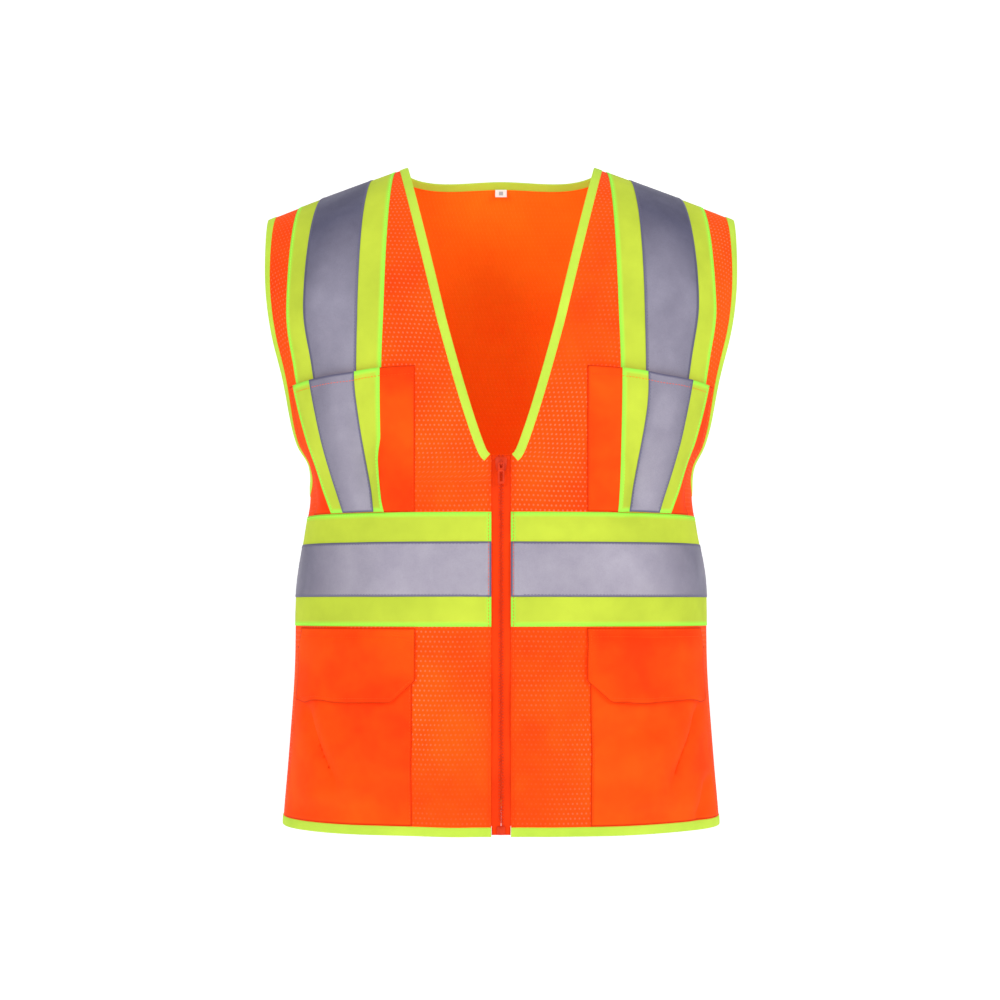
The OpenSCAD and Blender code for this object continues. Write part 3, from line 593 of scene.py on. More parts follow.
def moulded_plastic(name, light, dark, roughness):
    """Dyed zip resin: a faint cloud of colour and a fine orange-peel surface."""
    material, tree, shader = new_material(name, roughness, 0.04, Specular_IOR_Level=0.22)
    place = object_place(tree)
    cloud = use(tree, MOTTLE, {"Place": place, "Scale": 120.0})["Amount"]
    peel = add(tree, "ShaderNodeTexNoise", {"Vector": place, "Scale": 1800.0, "Detail": 2.0})
    paint(tree, shader, colour_mix(tree, cloud, tint(light), tint(dark)), peel.outputs["Fac"],
          0.15, 0.1 * MM)
    return material


def looped_pile():
    """The hook and loop patches: a felted pile of fine curls."""
    material, tree, shader = new_material("hook_and_loop", 0.9, 0.08, Sheen_Weight=0.4)
    place = cloth_place(tree)
    curls = add(tree, "ShaderNodeTexVoronoi", {"Vector": place, "Scale": 900.0})
    tone = colour_mix(tree, curls.outputs["Distance"], tint("d83c06"), tint("ff5a14"))
    paint(tree, shader, tone, curls.outputs["Distance"], 0.8, 0.6 * MM)
    return material


def label_cloth():
    """White satin with a plain grey square woven in."""
    material, tree, shader = new_material("label_satin", 0.5, 0.05, Sheen_Weight=0.2)
    place = cloth_place(tree)
    split = add(tree, "ShaderNodeSeparateXYZ", {0: place})
    inside = [maths(tree, "LESS_THAN",
                    maths(tree, "ABSOLUTE", maths(tree, "SUBTRACT", split.outputs[axis], middle)),
                    reach)
              for axis, middle, reach in (("X", 6 * MM, 2.2 * MM), ("Y", 4 * MM, 2.0 * MM))]
    weave = use(tree, WEAVE, {"Cloth": place, "Threads per metre": 2600.0})["Height"]
    mark = maths(tree, "MULTIPLY", maths(tree, "MULTIPLY", *inside), 0.75)
    paint(tree, shader, colour_mix(tree, mark, tint("ecebe6"), tint("8d9096")), weave, 0.3, 0.1 * MM)
    return material


ORANGE_MESH = mesh_cloth()
# Painted shade: the orange knit's darker cloud stands partly for soft folds on the pockets and flaps.
ORANGE_PLAIN = plain_cloth("orange_knit", "ff5206", "f63802", 1100.0, patches=10.0,
                           # Painted shadow: the darker rim of the orange knit along the pocket and flap
                           # edges.
                           edge_tint_and_shade=("dc3600", 0.4 * MM, 1.8 * MM))
LIME_TAPE = plain_cloth("lime_tape", "c1d33f", "b2c43a", 1300.0, glow=0.1, depth=0.4,
                        edge_tint_and_shade=("a0ee4b", 1.2 * MM, 6 * MM))
# Painted light: the strong glow brightens the binding where it lies in shade, inside the back of the
# neck.
LIME_BINDING = plain_cloth("lime_binding", "b4d044", "a6c63e", 1500.0, glow=0.34, depth=0.6)
SILVER = reflective_cloth()
ZIP_CLOTH = plain_cloth("zip_cloth", "f64006", "e63604", 1500.0, glow=0.06, depth=0.7)
ZIP_PLASTIC = moulded_plastic("zip_resin", "dc3606", "c62c04", 0.55)
PILE = looped_pile()
LABEL_CLOTH = label_cloth()
ORANGE_THREAD = plain_cloth("orange_thread", "ff5a18", "f04408", 4000.0, 0.6, 0.12, 0.2)
LIME_THREAD = plain_cloth("lime_thread", "b4ff52", "a0f048", 4000.0, 0.6, 0.25, 0.2)
GREY_THREAD = plain_cloth("grey_thread", "75728a", "66637c", 4000.0, 0.6, 0.0, 0.2)


# ---- studio ----

def make_studio():
    """A camera at chest height, a soft box on either side and a weak one above, a pale sweep
    and an even white sky."""
    scene = bpy.context.scene
    scene.view_settings.view_transform = "Standard"
    camera = bpy.data.cameras.new("camera")
    camera.lens = 61.4
    camera.sensor_width = 36
    camera_object = bpy.data.objects.new("camera", camera)
    camera_object.location = (-0.001, -1.700, -0.437)
    camera_object.rotation_euler = (math.radians(90 + 3.52), 0, 0)
    scene.collection.objects.link(camera_object)
    scene.camera = camera_object
    for name, place, size, power in (("left_soft_box", (-1.6, -2.3, 0.5), 1.3, 31.0),
                                     ("right_soft_box", (2.0, -2.0, 0.6), 1.3, 36.0),
                                     ("top_soft_box", (0.0, 0.6, 1.9), 1.8, 8.0)):
        light = bpy.data.lights.new(name, "AREA")
        light.shape, light.size, light.energy = "SQUARE", size, power
        light_object = bpy.data.objects.new(name, light)
        light_object.location = place
        aim = Vector((0, 0, -0.33)) - Vector(place)
        light_object.rotation_euler = aim.to_track_quat("-Z", "Y").to_euler()
        scene.collection.objects.link(light_object)
    world = bpy.data.worlds.new("studio_sky")
    world.use_nodes = True
    sky = world.node_tree.nodes["Background"]
    sky.inputs["Color"].default_value = (1.0, 1.0, 1.0, 1.0)
    sky.inputs["Strength"].default_value = 0.4
    scene.world = world
    make_floor()


def make_floor():
    """A pale floor well below the hem, which bends up behind in a quarter circle."""
    reach, bend, drop = 9.0, 2.0, -1.35
    turn = np.radians(np.linspace(0, 90, 13))
    y = np.concatenate([[-reach], reach / 2 + bend * np.sin(turn), [reach / 2 + bend]])
    z = np.concatenate([[drop], drop + bend * (1 - np.cos(turn)), [drop + reach]])
    x = np.array([-reach, reach])
    points = np.stack(np.broadcast_arrays(x[None, :], y[:, None], z[:, None]), -1)
    k = np.arange(points[..., 0].size).reshape(len(y), 2)
    faces = np.stack([k[:-1, 0], k[:-1, 1], k[1:, 1], k[1:, 0]], -1)
    floor = new_object("studio_floor", points, faces)
    material, tree, shader = new_material("pale_floor", 0.9, 0.5)
    cloud = use(tree, MOTTLE, {"Place": object_place(tree), "Scale": 0.6})["Amount"]
    paint(tree, shader, colour_mix(tree, cloud, tint("fafafa"), tint("f6f6f6")))
    floor.data.materials.append(material)


make_studio()

# ---- shell ----

GRID = 3.2 * MM
shell_runs = np.linspace(0, SEAM_RUN, round(SEAM_RUN / GRID))[:, None]


def between(low, high, step=GRID):
    """Runs from low to high, about a step apart, as a column."""
    return np.linspace(low, high, max(2, round((high - low) / step) + 1))[:, None]


def shares(width, step=GRID):
    """Shares from 0 to 1 across a width, about a step apart, as a row."""
    return np.linspace(0, 1, max(2, round(width / step) + 1))[None, :]


def to_hand(hand, angle):
    return angle if hand == "left" else 180 - angle


def front_angles(hand, run, share):
    inner = angle_at_x(FRONT, front_edge_x(run), run)
    return to_hand(hand, inner + (outer_angle(FRONT, run) - inner) * share)


def back_angles(run):
    """From the left edge to the right one, closer together at the corners of the neck."""
    side = shares(0.15)
    neck = NECK_HALF * np.cos(np.pi * shares(0.21)[:, 1:-1])
    turn = angle_at_x(BACK, NECK_HALF, run)
    outer = outer_angle(BACK, run)
    left = outer + (turn - outer) * side
    return np.concatenate([left, angle_at_x(BACK, neck, run), 180 - left[:, ::-1]], 1)


def measure(obj):
    """Width, length and area of a sheet as cut: its longest row, its longest column and the
    sum of its outer quads."""
    rows, columns = SHEETS[obj.name]
    co = np.empty(len(obj.data.vertices) * 3)
    obj.data.vertices.foreach_get("co", co)
    grid = co.reshape(2, rows, columns, 3)[0]
    width = np.linalg.norm(np.diff(grid, axis=1), axis=-1).sum(1).max()
    length = np.linalg.norm(np.diff(grid, axis=0), axis=-1).sum(0).max()
    a, b = grid[1:, 1:] - grid[:-1, :-1], grid[1:, :-1] - grid[:-1, 1:]
    area = np.linalg.norm(np.cross(a, b), axis=-1).sum() / 2
    return width, length, area


def sew(obj, material, body, node, slot):
    """Finishes a cloth piece: its material, its body and its node, and measures its cut size."""
    finish_piece(obj, material, body, [node], slot)
    width, length, area = measure(obj)
    return obj


def shell_pieces():
    for hand in ("left", "right"):
        panel = cloth(f"{hand}_front_cloth", FRONT, front_angles(hand, shell_runs, shares(0.235)),
                      shell_runs, 0, SHELL_T)
        sew(panel, ORANGE_MESH, "root", f"{hand}_front_panel", "mesh_fabric")
    angle = back_angles(shell_runs)
    panel = cloth("back_cloth", BACK, angle, back_run(shell_runs, angle), 0, SHELL_T)
    sew(panel, ORANGE_MESH, "root", "back_panel", "mesh_fabric")


shell_pieces()

# ---- bindings ----


def on_either(side, angle, run, offset):
    """A place on the body where side is an array too."""
    front = on_body(FRONT, angle, run, offset)
    back = on_body(BACK, angle, run, offset)
    return np.where((side == FRONT)[..., None], front, back)


def step_in(side, angle, run, into, distance):
    """The angle and run a distance along the surface from a place: the least-squares step
    in the surface's own two directions, taken in halves."""
    for _ in range(2):
        here = on_either(side, angle, run, 0.0)
        by_angle = (on_either(side, angle + 0.05, run, 0.0) - here) / 0.05
        by_run = (on_either(side, angle, run + 0.5 * MM, 0.0) - here) / (0.5 * MM)
        aa, ar, rr = [(p * q).sum(-1) for p, q in ((by_angle, by_angle), (by_angle, by_run),
                                                  (by_run, by_run))]
        a_in, r_in = (by_angle * into).sum(-1), (by_run * into).sum(-1)
        det = aa * rr - ar * ar
        angle = angle + 0.5 * distance * (a_in * rr - r_in * ar) / det
        run = run + 0.5 * distance * (aa * r_in - ar * a_in) / det
    return angle, run


FOLD_T = 0.5 * MM
FOLD_OUT = SHELL_T + 0.12 * MM
FOLD_IN = -0.12 * MM
FOLD_LEG_AT = np.array([2.5, 5, 7.4, 7.9]) * MM
FOLD_LEG_SWELL = np.array([0.12, 0.10, -0.02, -0.2]) * MM


def fold_profile():
    """The section of a binding, round its edge: [into the panel, outwards]. Two legs joined
    by half-round folds, the outer one thick, and each leg's end rounded."""
    turn = np.radians(np.linspace(90, 270, 9))
    middle = (FOLD_OUT + FOLD_IN) / 2
    high = (FOLD_OUT - FOLD_IN) / 2
    outer = np.stack([0.6 * MM * np.cos(turn) - 0.2 * MM,
                      middle + (high + FOLD_T) * np.sin(turn)], -1)
    inner = np.stack([0.15 * MM * np.cos(turn[::-1]) - 0.2 * MM,
                      middle + high * np.sin(turn[::-1])], -1)
    legs, swell = FOLD_LEG_AT, FOLD_LEG_SWELL

    def leg(reach, level, lift):
        return np.stack([reach, level + lift], -1)

    return np.concatenate([
        leg(legs[::-1], FOLD_OUT + FOLD_T, swell[::-1]), outer,
        leg(legs, FOLD_IN - FOLD_T, -swell), leg(legs[::-1], FOLD_IN, 0 * swell), inner,
        leg(legs, FOLD_OUT, 0 * swell)])


def ring_path(side, angle, run, closed, step=3 * MM):
    """Evens out a path on the body to about a step apart."""
    points = on_either(side, angle, run, 0.0)
    if closed:
        points = np.concatenate([points, points[:1]])
        side, angle, run = [np.concatenate([v, v[:1]]) for v in (side, angle, run)]
    length = np.concatenate([[0], np.cumsum(np.linalg.norm(np.diff(points, axis=0), axis=1))])
    at = np.linspace(0, length[-1], round(length[-1] / step) + 1)
    if closed:
        at = at[:-1]
    nearest = np.clip(np.searchsorted(length, at), 1, len(length) - 1)
    pick = np.where(at - length[nearest - 1] < length[nearest] - at, nearest - 1, nearest)
    keep = np.unique(pick)
    return side[keep], angle[keep], run[keep], length[-1]


def binding(name, side, angle, run, closed=False):
    """A strip folded over an edge, with the panel on the path's left as seen from outside."""
    side, angle, run, length = ring_path(side, angle, run, closed)
    centre = on_either(side, angle, run, 0.0)
    if closed:
        along = np.roll(centre, -1, 0) - np.roll(centre, 1, 0)
    else:
        along = np.gradient(centre, axis=0)
    along /= np.linalg.norm(along, axis=-1, keepdims=True)
    outwards = on_either(side, angle, run, MM) - on_either(side, angle, run, 0.0)
    into = np.cross(outwards, along)
    into /= np.linalg.norm(into, axis=-1, keepdims=True)
    profile = fold_profile()
    rings = []
    for reach, level in profile:
        a, r = step_in(side, angle, run, into, reach)
        rings.append(on_either(side, a, r, level))
    points = np.stack(rings, 1)
    n, m = points.shape[:2]
    k = np.arange(n * m).reshape(n, m)
    here, there = (k, np.roll(k, -1, 0)) if closed else (k[:-1], k[1:])
    faces = np.stack([here, there, np.roll(there, -1, 1), np.roll(here, -1, 1)], -1).reshape(-1, 4)
    around = np.concatenate([[0], np.cumsum(np.linalg.norm(np.diff(profile, axis=0), axis=1))])
    uv = np.stack(np.broadcast_arrays(np.linspace(0, length, n)[:, None], around[None, :]), -1)
    return new_object(name, points, faces, uv), length


def front_path(runs, x_or_outer, hand):
    if x_or_outer == "outer":
        angle = outer_angle(FRONT, runs)
    else:
        angle = angle_at_x(FRONT, front_edge_x(runs), runs)
    return np.full(runs.shape, FRONT), to_hand(hand, angle), runs


def fold_over(name, node, side, angle, run, closed=False):
    obj, length = binding(name, side, angle, run, closed)
    finish_piece(obj, LIME_BINDING, "root", [node], "contrast_tape")


def binding_pieces():
    fine = 1 * MM
    v_runs = np.arange(V_BOTTOM_H, SEAM_RUN, fine)
    x = NECK_HALF * np.cos(np.linspace(0, np.pi, 400))[1:-1]
    neck_angle = angle_at_x(BACK, x, CHEST_H)
    for _ in range(3):
        neck_angle = angle_at_x(BACK, x, back_run(SEAM_RUN, neck_angle))
    right_v = front_path(v_runs, "inner", "right")
    left_v = front_path(v_runs[::-1], "inner", "left")
    neck = (np.full(x.shape, BACK), neck_angle[::-1], back_run(SEAM_RUN, neck_angle)[::-1])
    fold_over("neck_fold", "neck_binding",
              *[np.concatenate(parts) for parts in zip(right_v, neck, left_v)])
    rise = UNDERARM_H + (CHEST_H - UNDERARM_H) * (1 - np.cos(np.linspace(0, np.pi / 2, 200)))
    runs = np.concatenate([rise[1:], np.arange(CHEST_H + fine, SEAM_RUN, fine)])
    for hand in ("left", "right"):
        down = (np.full(runs.shape, BACK), to_hand(hand, outer_angle(BACK, runs[::-1])), runs[::-1])
        foot = (np.array([FRONT]), to_hand(hand, np.array([0.0])), np.array([UNDERARM_H]))
        path = [np.concatenate(p) for p in zip(down, foot, front_path(runs, "outer", hand))]
        if hand == "right":
            path = [p[::-1] for p in path]
        fold_over(f"{hand}_armhole_fold", f"{hand}_armhole_binding", *path, closed=True)
    share = np.linspace(0, 1, 300)
    front = front_angles("left", np.zeros(300), share)
    back = np.linspace(0, 180, 600)[1:-1]
    angle = np.concatenate([front[:-1], back, 180 - front[::-1][1:]])
    side = np.concatenate([np.full(299, FRONT), np.full(598, BACK), np.full(299, FRONT)])
    fold_over("hem_fold", "hem_binding", side, angle, np.zeros(angle.shape))


binding_pieces()

# ---- waist band ----


def band_piece(name, node, side, angle, run, off, material, slot):
    piece = cloth(name, side, angle, run, off, TAPE_T)
    return sew(piece, material, "root", node, slot)


def waist_band():
    for layer, low, high, off, material, slot in (
            ("contrast", BAND_H, BAND_TOP, CONTRAST_OFF, LIME_TAPE, "contrast_tape"),
            ("reflective", BAND_H + BORDER_W, BAND_H + BORDER_W + SILVER_W, SILVER_OFF, SILVER,
             "reflective_tape")):
        run = between(low, high)
        for hand in ("left", "right"):
            band_piece(f"{hand}_waist_{layer}_tape", f"{hand}_waist_{layer}", FRONT,
                       front_angles(hand, run, shares(0.235)), run, off, material, slot)
        outer = outer_angle(BACK, run)
        band_piece(f"back_waist_{layer}_tape", f"back_waist_{layer}", BACK,
                   outer + (180 - 2 * outer) * shares(0.46), run, off, material, slot)


waist_band()

# ---- shoulder straps ----

STRAP_SEAM = (0.104, 0.127, 0.177, 0.200)
STRAP_SHIFTS = ((0.004, -0.008, -0.029, -0.040), (0.008, 0.009, 0.002, -0.002),
                (0.006, 0.008, 0.009, 0.005))
BACK_STRAP_SHIFTS = (0.008, 0.010, 0.016, 0.022)
CHEST_POCKET_H = 0.434
STRAP_FOOT = CHEST_POCKET_H - 22 * MM
STRAP_EDGES = {
    FRONT: [[(BAND_TOP, seam + STRAP_SHIFTS[0][k]), (CHEST_POCKET_H, seam + STRAP_SHIFTS[1][k]),
             (CHEST_H + 0.020, seam + STRAP_SHIFTS[2][k]), (SEAM_RUN, seam)]
            for k, seam in enumerate(STRAP_SEAM)],
    BACK: [[(BAND_TOP, seam - BACK_STRAP_SHIFTS[k]), (SEAM_RUN, seam)]
           for k, seam in enumerate(STRAP_SEAM)]}


def edge_x(side, k, run):
    return smooth_lookup(run, STRAP_EDGES[side][k])


def strap_angles(side, hand, first, last, run, share):
    a = angle_at_x(side, edge_x(side, first, run), run)
    b = angle_at_x(side, edge_x(side, last, run), run)
    return to_hand(hand, a + (b - a) * share)


def straps():
    for side, name, low in ((FRONT, "strap", STRAP_FOOT), (BACK, "back_strap", BAND_TOP + 0.5 * MM)):
        run = between(low, SEAM_RUN)
        for hand in ("left", "right"):
            band_piece(f"{hand}_{name}_contrast_tape", f"{hand}_{name}_contrast", side,
                       strap_angles(side, hand, 0, 3, run, shares(0.1)), run, CONTRAST_OFF,
                       LIME_TAPE, "contrast_tape")
            band_piece(f"{hand}_{name}_reflective_tape", f"{hand}_{name}_reflective", side,
                       strap_angles(side, hand, 1, 2, run, shares(0.05)), run, SILVER_OFF,
                       SILVER, "reflective_tape")


straps()

# ---- chest pockets ----

CHEST_POCKET_X = 0.080
CHEST_POCKET_PUFF = 5.5 * MM
CHEST_POCKET_DROP = 0.016
POCKET_LOW = 0.8 * MM
CHEST_FOOT = BAND_TOP + 0.5 * MM
CHEST_SIDE_X = 0.180
POCKET_RIM = 3 * MM


def fullness(share):
    """Across a pocket: flat at both sewn edges, full between them."""
    return 1 - (2 * np.clip(share, 0, 1) - 1) ** 4


def rise_of(share):
    return 1 - (1 - np.clip(share, 0, 1)) ** 4


def chest_outer_x(run):
    return np.where(run <= UNDERARM_H + 0.012, CHEST_SIDE_X,
                    smooth_lookup(run, ARMHOLE_OUTLINE) - BINDING_W - 2 * MM)


def chest_off(run, x):
    """How far a chest pocket stands off: full in its middle and at its open mouth, with a
    soft slack in it."""
    share = (x - CHEST_POCKET_X) / (chest_outer_x(run) - CHEST_POCKET_X)
    up = (run - CHEST_FOOT) / (CHEST_POCKET_H - CHEST_FOOT)
    slack = 0.9 * MM * np.sin(9 * share + 3 * up) * np.clip(up, 0, 1) * np.clip(1 - up, 0, 1) * 4
    return POCKET_LOW + (CHEST_POCKET_PUFF - POCKET_LOW) * fullness(share) * rise_of(
        up) + slack * fullness(share)


def chest_place(hand, run, x, lift):
    """Places on a chest pocket: each row drops towards the armhole, most at the mouth."""
    share = np.clip((x - CHEST_POCKET_X) / (CHEST_HALF - CHEST_POCKET_X), 0, 1)
    drop = CHEST_POCKET_DROP * share ** 1.5 * (run - CHEST_FOOT) / (CHEST_POCKET_H - CHEST_FOOT)
    return to_hand(hand, angle_at_x(FRONT, x, run - drop)), run - drop, chest_off(run, x) + lift


def chest_piece(name, node, hand, inner, outer, lift, thickness, material, slot):
    run = between(CHEST_FOOT, CHEST_POCKET_H)
    a, b = inner(run), outer(run)
    x = a + (b - a) * shares(0.14 if thickness == SHELL_T else 0.09)
    piece = cloth(name, FRONT, *chest_place(hand, run + 0 * x, x, lift), thickness)
    return sew(piece, material, "root", node, slot)


def chest_pocket_inner_x(run):
    return CHEST_POCKET_X + 0 * run


def chest_tape(hand, layer, first, last, lift, material, slot):
    """The strap's tape carried on over a chest pocket, which cuts it off at the armhole."""
    def inner(run):
        return edge_x(FRONT, first, run)

    def outer(run):
        return np.minimum(edge_x(FRONT, last, run), chest_outer_x(run) - POCKET_RIM)

    chest_piece(f"{hand}_chest_pocket_{layer}_tape", f"{hand}_chest_pocket_{layer}", hand, inner,
                outer, lift, TAPE_T, material, slot)


def chest_pockets():
    for hand in ("left", "right"):
        chest_piece(f"{hand}_chest_pocket_cloth", f"{hand}_chest_pocket", hand,
                    chest_pocket_inner_x, chest_outer_x, 0, SHELL_T, ORANGE_PLAIN,
                    "pocket_fabric")
        chest_tape(hand, "contrast", 0, 3, CONTRAST_OFF, LIME_TAPE, "contrast_tape")
        chest_tape(hand, "reflective", 1, 2, SILVER_OFF, SILVER, "reflective_tape")


chest_pockets()

# ---- lower pockets and flaps ----

LOWER_FOOT = BINDING_W + 2 * MM
LOWER_POCKET_H = 0.171
LOWER_POCKET_X = 0.082
LOWER_PUFF = 6 * MM
FLAP_TOP_H = BAND_H - 1.5 * MM
FLAP_X = 0.079
FLAP_EDGE_H = 0.121
FLAP_CORNER_H = 0.141
FLAP_CHAMFER_W = 0.021
FLAP_GAP = 1.1 * MM
FLAP_LIFT = 2.2 * MM
FLAP_RIM = 5 * MM
PATCH_W = 26 * MM
PATCH_H = 16 * MM


def lower_outer_x(run):
    return smooth_lookup(run, SIDE_OUTLINE) - 7 * MM


def lower_off(run, x):
    """A lower pocket hangs fullest just above its foot, where it bags."""
    share = (x - LOWER_POCKET_X) / (lower_outer_x(run) - LOWER_POCKET_X)
    up = (run - LOWER_FOOT) / (LOWER_POCKET_H - LOWER_FOOT)
    bag = 0.25 * np.sin(np.pi * np.clip(up, 0, 1))
    crease = 0.10 * np.sin(7 * share + 5 * up)
    return POCKET_LOW + (LOWER_PUFF - POCKET_LOW) * fullness(share) * rise_of(
        1.4 * up) * (0.75 + bag + crease * np.clip(1.2 - up, 0, 1))


def across_angles(inner, outer, run, share):
    a, b = angle_at_x(FRONT, inner, run), angle_at_x(FRONT, outer, run)
    return a + (b - a) * share


def lower_pocket(hand):
    run = between(LOWER_FOOT, LOWER_POCKET_H)
    angle = across_angles(LOWER_POCKET_X + 0 * run, lower_outer_x(run), run, shares(0.15))
    x = bare_point(FRONT, angle, run)[..., 0]
    piece = cloth(f"{hand}_lower_pocket_cloth", FRONT, to_hand(hand, angle), run,
                  lower_off(run, x), SHELL_T)
    sew(piece, ORANGE_PLAIN, "root", f"{hand}_lower_pocket", "pocket_fabric")


def flap_bottom(x):
    """The free edge: level, with a chamfer up to the inner corner."""
    share = np.clip((x - FLAP_X) / FLAP_CHAMFER_W, 0, 1)
    return FLAP_CORNER_H + (FLAP_EDGE_H - FLAP_CORNER_H) * share


def flap_off(run, x):
    """From its seam a flap comes out over the pocket's mouth and lies on the pocket, its
    free edge lifting a little."""
    over = np.maximum(1.5 * MM, lower_off(np.minimum(run, LOWER_POCKET_H), x) + SHELL_T + FLAP_GAP)
    share = np.clip((FLAP_TOP_H - run) / (FLAP_TOP_H - LOWER_POCKET_H), 0, 1)
    drop = np.clip((FLAP_TOP_H - run) / (FLAP_TOP_H - FLAP_EDGE_H), 0, 1)
    return 1.5 * MM + (over - 1.5 * MM) * ease(0, 1, share) + FLAP_LIFT * drop ** 4


def flap(hand):
    down = 1 - np.linspace(0, 1, 26)[:, None]
    top = np.full((1, 1), FLAP_TOP_H)
    outer = lower_outer_x(top) - FLAP_RIM
    top_x = bare_point(FRONT, across_angles(FLAP_X + 0 * top, outer, top, shares(0.14, 2.4 * MM)),
                       top)[..., 0]
    run = FLAP_TOP_H + (flap_bottom(top_x) - FLAP_TOP_H) * down
    angle = angle_at_x(FRONT, top_x + 0 * run, run)
    piece = cloth(f"{hand}_flap_cloth", FRONT, to_hand(hand, angle), run, flap_off(run, top_x),
                  SHELL_T)
    piece.data.materials.append(ORANGE_PLAIN)
    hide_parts(f"{hand}_pocket_flap")
    width, length, area = measure(piece)
    blend_on_flap(piece)


def blend_on_flap(piece):
    """Bakes the piece's transform into its points."""
    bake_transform(piece)


def closure_patch(hand, name, node, lift, body):
    middle = (FLAP_X + lower_outer_x(FLAP_EDGE_H) - FLAP_RIM) / 2
    run = FLAP_EDGE_H + 7 * MM + PATCH_H * np.linspace(0, 1, 8)[:, None]
    x = middle + PATCH_W * (np.linspace(0, 1, 12)[None, :] - 0.5) + 0 * run
    angle = angle_at_x(FRONT, x, run)
    piece = cloth(name, FRONT, to_hand(hand, angle), run, lower_off(run, x) + lift, 0.35 * MM)
    sew(piece, PILE, body, node, "hook_and_loop")


for each_hand in ("left", "right"):
    lower_pocket(each_hand)
    flap(each_hand)
    closure_patch(each_hand, f"{each_hand}_loop_pile", f"{each_hand}_loop_patch",
                  SHELL_T + 0.05 * MM, "root")
    closure_patch(each_hand, f"{each_hand}_hook_pile", f"{each_hand}_hook_patch",
                  SHELL_T + FLAP_GAP - 0.45 * MM, f"{each_hand}_flap")

# ---- zip ----

CHAIN_Y = -FRONT_DEPTH + 0.6 * MM
ZIP_TOP = V_BOTTOM_H - NECK_H
SLIDER_L = 13 * MM
SLIDER_Z = ZIP_TOP - SLIDER_L / 2 - 2 * MM
TOOTH_PITCH = 2.8 * MM
CHAIN_FOOT = HEM_Z + 12 * MM
CROSSBAR_Y = CHAIN_Y - 5.3 * MM
ZIP_SLIT = 0.15 * MM
ZIP_END_REACH = 8.7 * MM
ZIP_TAPE_REACH = 16.4 * MM


def assemble(name, parts, body, node, material=ZIP_PLASTIC, slot="zip_plastic"):
    """One object from several closed shells, each a pair of points and quads."""
    points, faces, base = [], [], 0
    for shell_points, shell_faces in parts:
        points.append(shell_points.reshape(-1, 3))
        faces += [tuple(v + base for v in face) for face in shell_faces]
        base += len(points[-1])
    mesh = bpy.data.meshes.new(name)
    mesh.from_pydata(np.concatenate(points).tolist(), [], faces)
    mesh.update()
    obj = bpy.data.objects.new(name, mesh)
    bpy.context.scene.collection.objects.link(obj)
    mesh.polygons.foreach_set("use_smooth", np.ones(len(mesh.polygons), bool))
    mesh.set_sharp_from_angle(angle=math.radians(50))
    return finish_piece(obj, material, body, [node] if node else [], slot)


def loft(rings, capped=True):
    """Skin over closed rings of points (ring, point, xyz), with its two ends filled."""
    n, m = rings.shape[:2]
    k = np.arange(n * m).reshape(n, m)
    side = np.stack([k[:-1], np.roll(k[:-1], -1, 1), np.roll(k[1:], -1, 1), k[1:]], -1)
    faces = side.reshape(-1, 4).tolist()
    if capped:
        faces += [k[0, ::-1].tolist(), k[-1].tolist()]
    return rings, faces


def outline_ring(outline, y, inset):
    """An outline in x and z at a depth y, drawn in towards its middle."""
    outline = np.array(outline, float)
    middle = outline.mean(0)
    reach = np.abs(outline - middle).max(0)
    drawn = middle + (outline - middle) * (1 - inset / reach)
    return np.stack([drawn[:, 0], np.full(len(drawn), y), drawn[:, 1]], -1)


def slab(outline, near, far, bevel):
    """A plate with softened edges; its outline runs clockwise as seen from the front."""
    steps = ((near, bevel), (near + bevel, 0), (far - bevel, 0), (far, bevel))
    return loft(np.stack([outline_ring(outline, y, inset) for y, inset in steps]))


def ring_slab(outer, inner, near, far, bevel):
    """A plate with a hole: a ring of points round its section, closed on itself."""
    rings = np.stack([outline_ring(outer, near, bevel), outline_ring(outer, near + bevel, 0),
                      outline_ring(outer, far - bevel, 0), outline_ring(outer, far, bevel),
                      outline_ring(inner, far, -bevel), outline_ring(inner, far - bevel, 0),
                      outline_ring(inner, near + bevel, 0), outline_ring(inner, near, -bevel)])
    return loft(np.concatenate([rings, rings[:1]]), capped=False)


def rounded_box(x0, x1, z0, z1, radius, count=5):
    """Outline of a rectangle with quarter-circle corners, clockwise from the front."""
    turn = np.radians(np.linspace(0, 90, count))
    corners = ((x1 - radius, z1 - radius, 90), (x1 - radius, z0 + radius, 0),
               (x0 + radius, z0 + radius, -90), (x0 + radius, z1 - radius, -180))
    points = [np.stack([x + radius * np.cos(np.radians(start) - turn),
                        z + radius * np.sin(np.radians(start) - turn)], -1)
              for x, z, start in corners]
    return np.concatenate(points)


def tube(path, radius, sides=12):
    """A round bar along a path in one plane, with its ends drawn in."""
    path = np.array(path, float)
    along = np.gradient(path, axis=0)
    along /= np.linalg.norm(along, axis=1, keepdims=True)
    across = np.cross(along[0], along[len(along) // 2])
    if np.linalg.norm(across) < 1e-6:
        across = np.cross(along[0], (0.3, 0.5, 0.8))
    across = across / np.linalg.norm(across)
    up = np.cross(along, across)
    turn = np.linspace(0, 2 * np.pi, sides, endpoint=False)[None, :, None]
    size = np.full(len(path), radius)
    size[[0, -1]] = radius * 0.8
    circle = np.cos(turn) * across + np.sin(turn) * up[:, None, :]
    return loft(path[:, None, :] + size[:, None, None] * circle)


def soft_block(middle, half, power=0.35, rows=7, columns=12):
    """A superellipsoid: sines and cosines of two angles, each raised to a small power."""
    up = np.radians(np.linspace(-80, 80, rows))[:, None]
    turn = np.radians(np.linspace(0, 360, columns, endpoint=False))[None, :]
    shape = np.stack([signed_pow(np.cos(up), power) * signed_pow(np.cos(turn), power),
                      signed_pow(np.cos(up), power) * signed_pow(np.sin(turn), power),
                      signed_pow(np.sin(up), power) + 0 * turn], -1)
    return loft(np.array(middle) + np.array(half) * shape)


